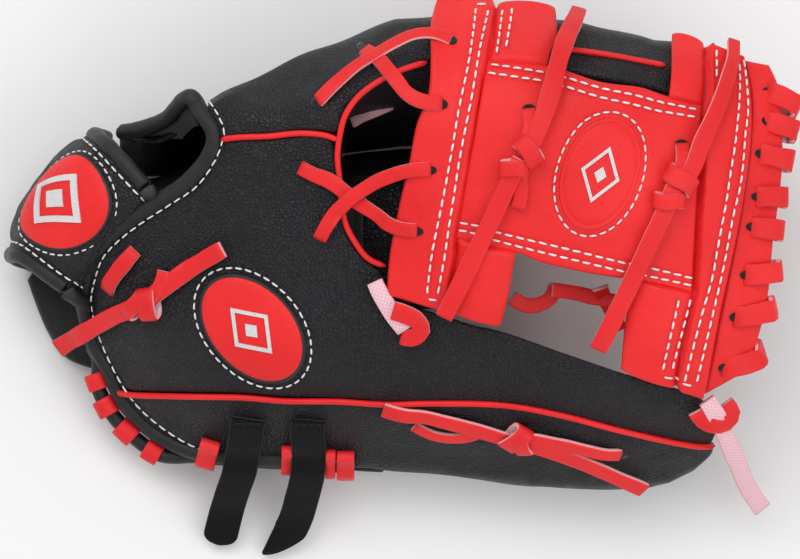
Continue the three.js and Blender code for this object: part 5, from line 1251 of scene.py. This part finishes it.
# lace round the outer strip's edge
loops = [[767, 97, 798, 112], [764, 124, 797, 134], [757, 155, 793, 162], [753, 197, 787, 198], [748, 227, 783, 231], [743, 274, 782, 270], [733, 315, 776, 306], [722, 363, 764, 349]]
for i, (a0, b0, a1, b1) in enumerate(loops):
    def f(t): return a0 + (a1 - a0) * t, b0 + (b1 - b0) * t
    d = np.array([a1 - a0, -(b1 - b0), 0.0])
    d /= np.linalg.norm(d)
    e = f(1)
    top = float(at(*f(0.78), 0)[2])
    pts = [at(*f(-0.06), 2.0), at(*f(0.08), 3.9), at(*f(0.3), 4.9), at(*f(0.55), 5.2), at(*f(0.78), 4.3), np.array([gx(e[0]) - 1.7, gy(e[1]), top + 1.4]), np.array([gx(e[0]) - 0.9, gy(e[1]), top - 2.0]),
           np.array([gx(e[0]) - 2.8, gy(e[1]), top - 6.0]), at(*f(0.62), -3.4), at(*f(0.3), -2.4)]
    pts = np.array([np.asarray(p, float).reshape(3) for p in pts])
    c = spline(pts, 46)
    t_ = np.gradient(c, axis=0)
    t_ /= np.linalg.norm(t_, axis=1, keepdims=True)
    side = np.array([-d[1], d[0], 0.0])
    up = np.cross(side, t_)
    if up[5, 2] < 0:
        up = -up
    prof, pm = lace_profile(7.5, 1.8)
    sweep("edge_loop_%d" % (i + 1), c, prof, up, [M_LACE, M_EDGE, M_SUEDE], replaces=("web_edge_lace",) if i == 0 else (), slot="rawhide_lace", prof_mat=pm, cap_mat=1,
          scale=np.stack([1 + 0.05 * wob(c, 10, i), np.ones(len(c))], -1))
    h = f(-0.03)
    hole("edge_eyelet_%d" % (i + 1), h[0], h[1], 6.5, 4.5, math.atan2(b1 - b0, a1 - a0), 3.35)
sp = spline([[a + 9, b + (d_ - b) * 0.25] for a, b, c_, d_ in loops], 90)
lace("edge_lace_run", at(sp[:, 0], sp[:, 1], -2.6), normal_at(sp[:, 0], sp[:, 1]), w=5, t=1.6, n=90, seed=60)

# heel of the palm: its own rolled edge outside the binding, and the heel lace's loops
hs = spline(HEEL_EDGE[1:-1], 160)
ht = np.gradient(hs, axis=0)
ht /= np.linalg.norm(ht, axis=1, keepdims=True)
hn = np.stack([-ht[:, 1], ht[:, 0]], -1)
ho = 14.5 * sstep((hs[:, 1] - 352) / 34) * (1 - sstep((hs[:, 0] - 158) / 44)) + 1.5
hq = hs + hn * ho[:, None]
heel_roll = np.stack([gx(hq[:, 0]), gy(hq[:, 1]), np.maximum(H(hs[:, 0], hs[:, 1]) - 5.5, 9.0)], -1)
sweep("heel_palm_roll", heel_roll, np.stack([2.7 * np.cos(th), 2.7 * np.sin(th)], -1), [0, 0, 1], [M_BIND], slot="binding_leather",
      scale=np.stack([1 + 0.04 * wob(heel_roll, 8, 3), 1 + 0.04 * wob(heel_roll, 7, 5)], -1))
hl = [[96, 383], [105, 408], [124, 432], [152, 450], [204, 468], [286, 475], [329, 477], [344, 478]]
spn = [[117, 358], [124, 372], [136, 390], [157, 414], [183, 432], [208, 442], [240, 445], [300, 448.5], [350, 451]]
he, se = spline(HEEL_EDGE, 400), spline(spn, 400)
for i, (a, b) in enumerate(hl):
    Pn = se[((se - [a, b]) ** 2).sum(1).argmin()]
    E = he[((he - [a, b]) ** 2).sum(1).argmin()]
    p0, e0 = np.array([gx(Pn[0]), gy(Pn[1]), 0.0]), np.array([gx(E[0]), gy(E[1]), 0.0])
    out = e0 - p0
    Dn = np.linalg.norm(out)
    out /= Dn
    ze = float(H(*E))
    m = lambda d, z: np.array([p0[0] + out[0] * d, p0[1] + out[1] * d, z])
    qi = m(Dn - 5.0, 0)
    zi = float(H(ga(qi[0]), gb(qi[1])))
    if i < 4:
        rc = heel_roll[((heel_roll[:, :2] - [float(gx(a)), float(gy(b))]) ** 2).sum(1).argmin()]
        an = np.radians(np.linspace(160, -125, 14))
        out = rc - np.array([e0[0], e0[1], rc[2]])
        out[2] = 0
        out /= max(np.linalg.norm(out), 1e-6)
        pts = [rc + out * (3.5 * math.cos(q_)) + np.array([0, 0, 3.5 * math.sin(q_)]) for q_ in an]
    else:
        pts = [m(Dn - 3, 7), m(Dn + 2.2, 7.6), m(Dn + 3.8, 11), m(Dn + 4.3, (7 + ze) / 2), m(Dn + 4.2, ze - 3.5), m(Dn + 3.2, ze + 0.4), m(Dn + 0.4, ze + 2.5), m(Dn - 3.4, zi + 2.6), m(Dn - 5.4, zi + 1.0)]
    c = spline(np.array(pts), 40)
    t_ = np.gradient(c, axis=0)
    t_ /= np.linalg.norm(t_, axis=1, keepdims=True)
    side = np.array([-out[1], out[0], 0.0])
    up = np.cross(side, t_)
    if up[18] @ out < 0:
        up = -up
    prof, pm = lace_profile((6.2, 6.6, 7.4, 6.4, 7.2, 4.6, 3.6, 6.4)[i], 1.6)
    sweep("heel_loop_%d" % (i + 1), c, prof, up, [M_LACE, M_EDGE, M_SUEDE], replaces=("heel_lace",) if i == 0 else (), slot="rawhide_lace", prof_mat=pm, cap_mat=1)
sp = spline([[float(gx(a)), float(gy(b)), 7.6] for a, b in spn], 70)
lace("heel_lace_run", sp, [0, 0, 1], w=4.6, t=1.6, n=70, seed=61)

# lace down the finger tips' palm edge, the two inside loops, the laces behind the web
fl = np.array([[96, 57.8, 76], [104, 55.8, 62], [106, 52.8, 46], [102, 48.8, 30], [94, 44.8, 15], [84, 42.8, 6]], float)
lace("finger_edge_lace", fl, [0, -1, 0.1], w=5, t=1.7, replaces=("finger_lace",), body="fingers", n=60, seed=62)
for nm, node, pts in (("little_finger_band", "little_finger_loop", [[-20, 38, 45], [-20, 31, 52], [-20, 22, 54], [-20, 13, 51]]), ("thumb_band", "thumb_loop", [[-20, -22, 46], [-20, -30, 51], [-20, -37, 48], [-20, -43, 42]])):
    sweep(nm, spline(pts, 40), np.stack([3.0 * np.cos(th), 0.9 * np.sin(th)], -1), [0, 0, 1], [M_BIND], replaces=(node,), slot="binding_leather")
for i, pts in enumerate([[[512, 298, 62], [530, 306, 60], [548, 300, 60], [556, 286, 62]], [[552, 290, 64], [575, 293, 62], [596, 298, 62], [622, 302, 64]], [[600, 288, 66], [604, 298, 62], [612, 312, 60], [620, 330, 58]]]):
    q = np.array([[float(gx(a)), float(gy(b)), z] for a, b, z in pts])
    lace("pocket_lace_%d" % (i + 1), q, [0, 0, 1], w=5.4, t=1.6, n=40, seed=70 + i)

# ------------------------------------------------------------------ elastic pull straps
for nm, node, body, pts, sc in (
        ("elastic_strap_a", "pull_strap_a", "pull_strap_a_body", [[248, 420, 45.5], [246, 430, 42.5], [244, 445, 37], [241, 458, 31.5], [238, 474, 27.5], [231, 494, 20], [224, 516, 11], [216, 548, 3.2]], "round"),
        ("elastic_strap_b", "pull_strap_b", "pull_strap_b_body", [[308, 421, 47], [307, 432, 43.5], [308, 446, 38.5], [308, 458, 33.5], [307, 475, 29.5], [301, 500, 20], [293, 525, 10.5], [275, 557, 3]], "point")):
    P3 = np.array([[float(gx(a)), float(gy(b)), z + 0.7] for a, b, z in pts])
    c = spline(P3, 90)
    h, q = 0.65, 6.3
    prof = np.array([(q, 0), (q - 0.25, h * 0.8), (q - 0.7, h), (0, h + 0.05), (-q + 0.7, h), (-q + 0.25, h * 0.8), (-q, 0), (-q + 0.25, -h * 0.8), (-q + 0.7, -h), (0, -h - 0.05), (q - 0.7, -h), (q - 0.25, -h * 0.8)])
    t_ = np.gradient(c, axis=0)
    t_ /= np.linalg.norm(t_, axis=1, keepdims=True)
    up = np.cross(np.array([1.0, 0, 0]), t_)
    up = np.where(up[:, 2:3] < 0, -up, up)
    dl = length(c) * (1 - np.linspace(0, 1, 91))
    if sc == "round":
        w_ = np.sqrt(np.clip(1 - (1 - np.clip(dl / 5.0, 0, 1)) ** 2.6, 0.02, 1))
    else:
        w_ = np.clip(np.clip(dl / 11.0, 0, 1) ** 0.55, 0.08, 1)
        c[:, 0] -= (1 - w_) * 5.6
    sweep(nm, c, prof, up, [M_ELASTIC], body=body, replaces=(node,), slot="elastic_web", scale=np.stack([w_, np.ones(91)], -1))
    o = c[2] + (c[10] - c[2]) * 0.0
    lines = []
    e0 = np.stack([c[2] + np.array([x_, 0, 0]) + up[2] * 0.66 for x_ in np.linspace(-5, 5, 6)])
    lines += [(e0, np.broadcast_to(up[2], e0.shape))]
    stitches(nm + "_stitching", lines, mat=M_BTHREAD, dash=2.0, gap=0.7, r=0.25, body=body)

# ------------------------------------------------------------------ floor, light, camera
def floor_material():
    m, nt, bs = _new("pale_floor")
    tc = nt.nodes.new("ShaderNodeTexCoord")
    nz = _n(nt, "ShaderNodeTexNoise", in_Scale=3.0, in_Detail=4.0)
    nt.links.new(tc.outputs["Object"], nz.inputs["Vector"])
    r = _ramp(nt, nz.outputs["Fac"], [(0.3, (0.815, 0.815, 0.82)), (0.7, (0.83, 0.83, 0.835))])
    nt.links.new(r.outputs[0], bs.inputs["Base Color"])
    bs.inputs["Roughness"].default_value = 0.9
    bs.inputs["Specular IOR Level"].default_value = 0.1
    return m


me = D.meshes.new("floor")
S = 4.0
me.from_pydata([(-S, -S, 0), (S, -S, 0), (S, S, 0), (-S, S, 0)], [], [(0, 1, 2, 3)])
me.materials.append(floor_material())
floor = D.objects.new("floor", me)
bpy.context.scene.collection.objects.link(floor)

world = D.worlds.new("studio")
world.use_nodes = True
world.node_tree.nodes["Background"].inputs[0].default_value = (1, 1, 1, 1)
world.node_tree.nodes["Background"].inputs[1].default_value = 0.70
bpy.context.scene.world = world


def area(name, loc, size, power, target=(0, 0, 0.04)):
    from mathutils import Vector
    l = D.lights.new(name, "AREA")
    l.energy, l.size = power, size
    o = D.objects.new(name, l)
    o.location = loc
    o.rotation_euler = (Vector(target) - Vector(loc)).to_track_quat("-Z", "Y").to_euler()
    bpy.context.scene.collection.objects.link(o)


area("key", (-0.6, 0.9, 1.5), 1.0, 11.0)
area("fill", (0.9, -0.5, 1.1), 1.0, 5.0)
area("top", (0.25, 0.6, 1.9), 1.0, 5.0)

cam = D.cameras.new("camera")
cam.lens, cam.sensor_width = 500, 36
cam.clip_start, cam.clip_end = 0.1, 12
co = D.objects.new("camera", cam)
co.location = (-0.0005, 0.00032, 4.06)
co.rotation_euler = (0, 0, 0)
bpy.context.scene.collection.objects.link(co)
bpy.context.scene.camera = co
bpy.context.scene.view_settings.view_transform = "Standard"
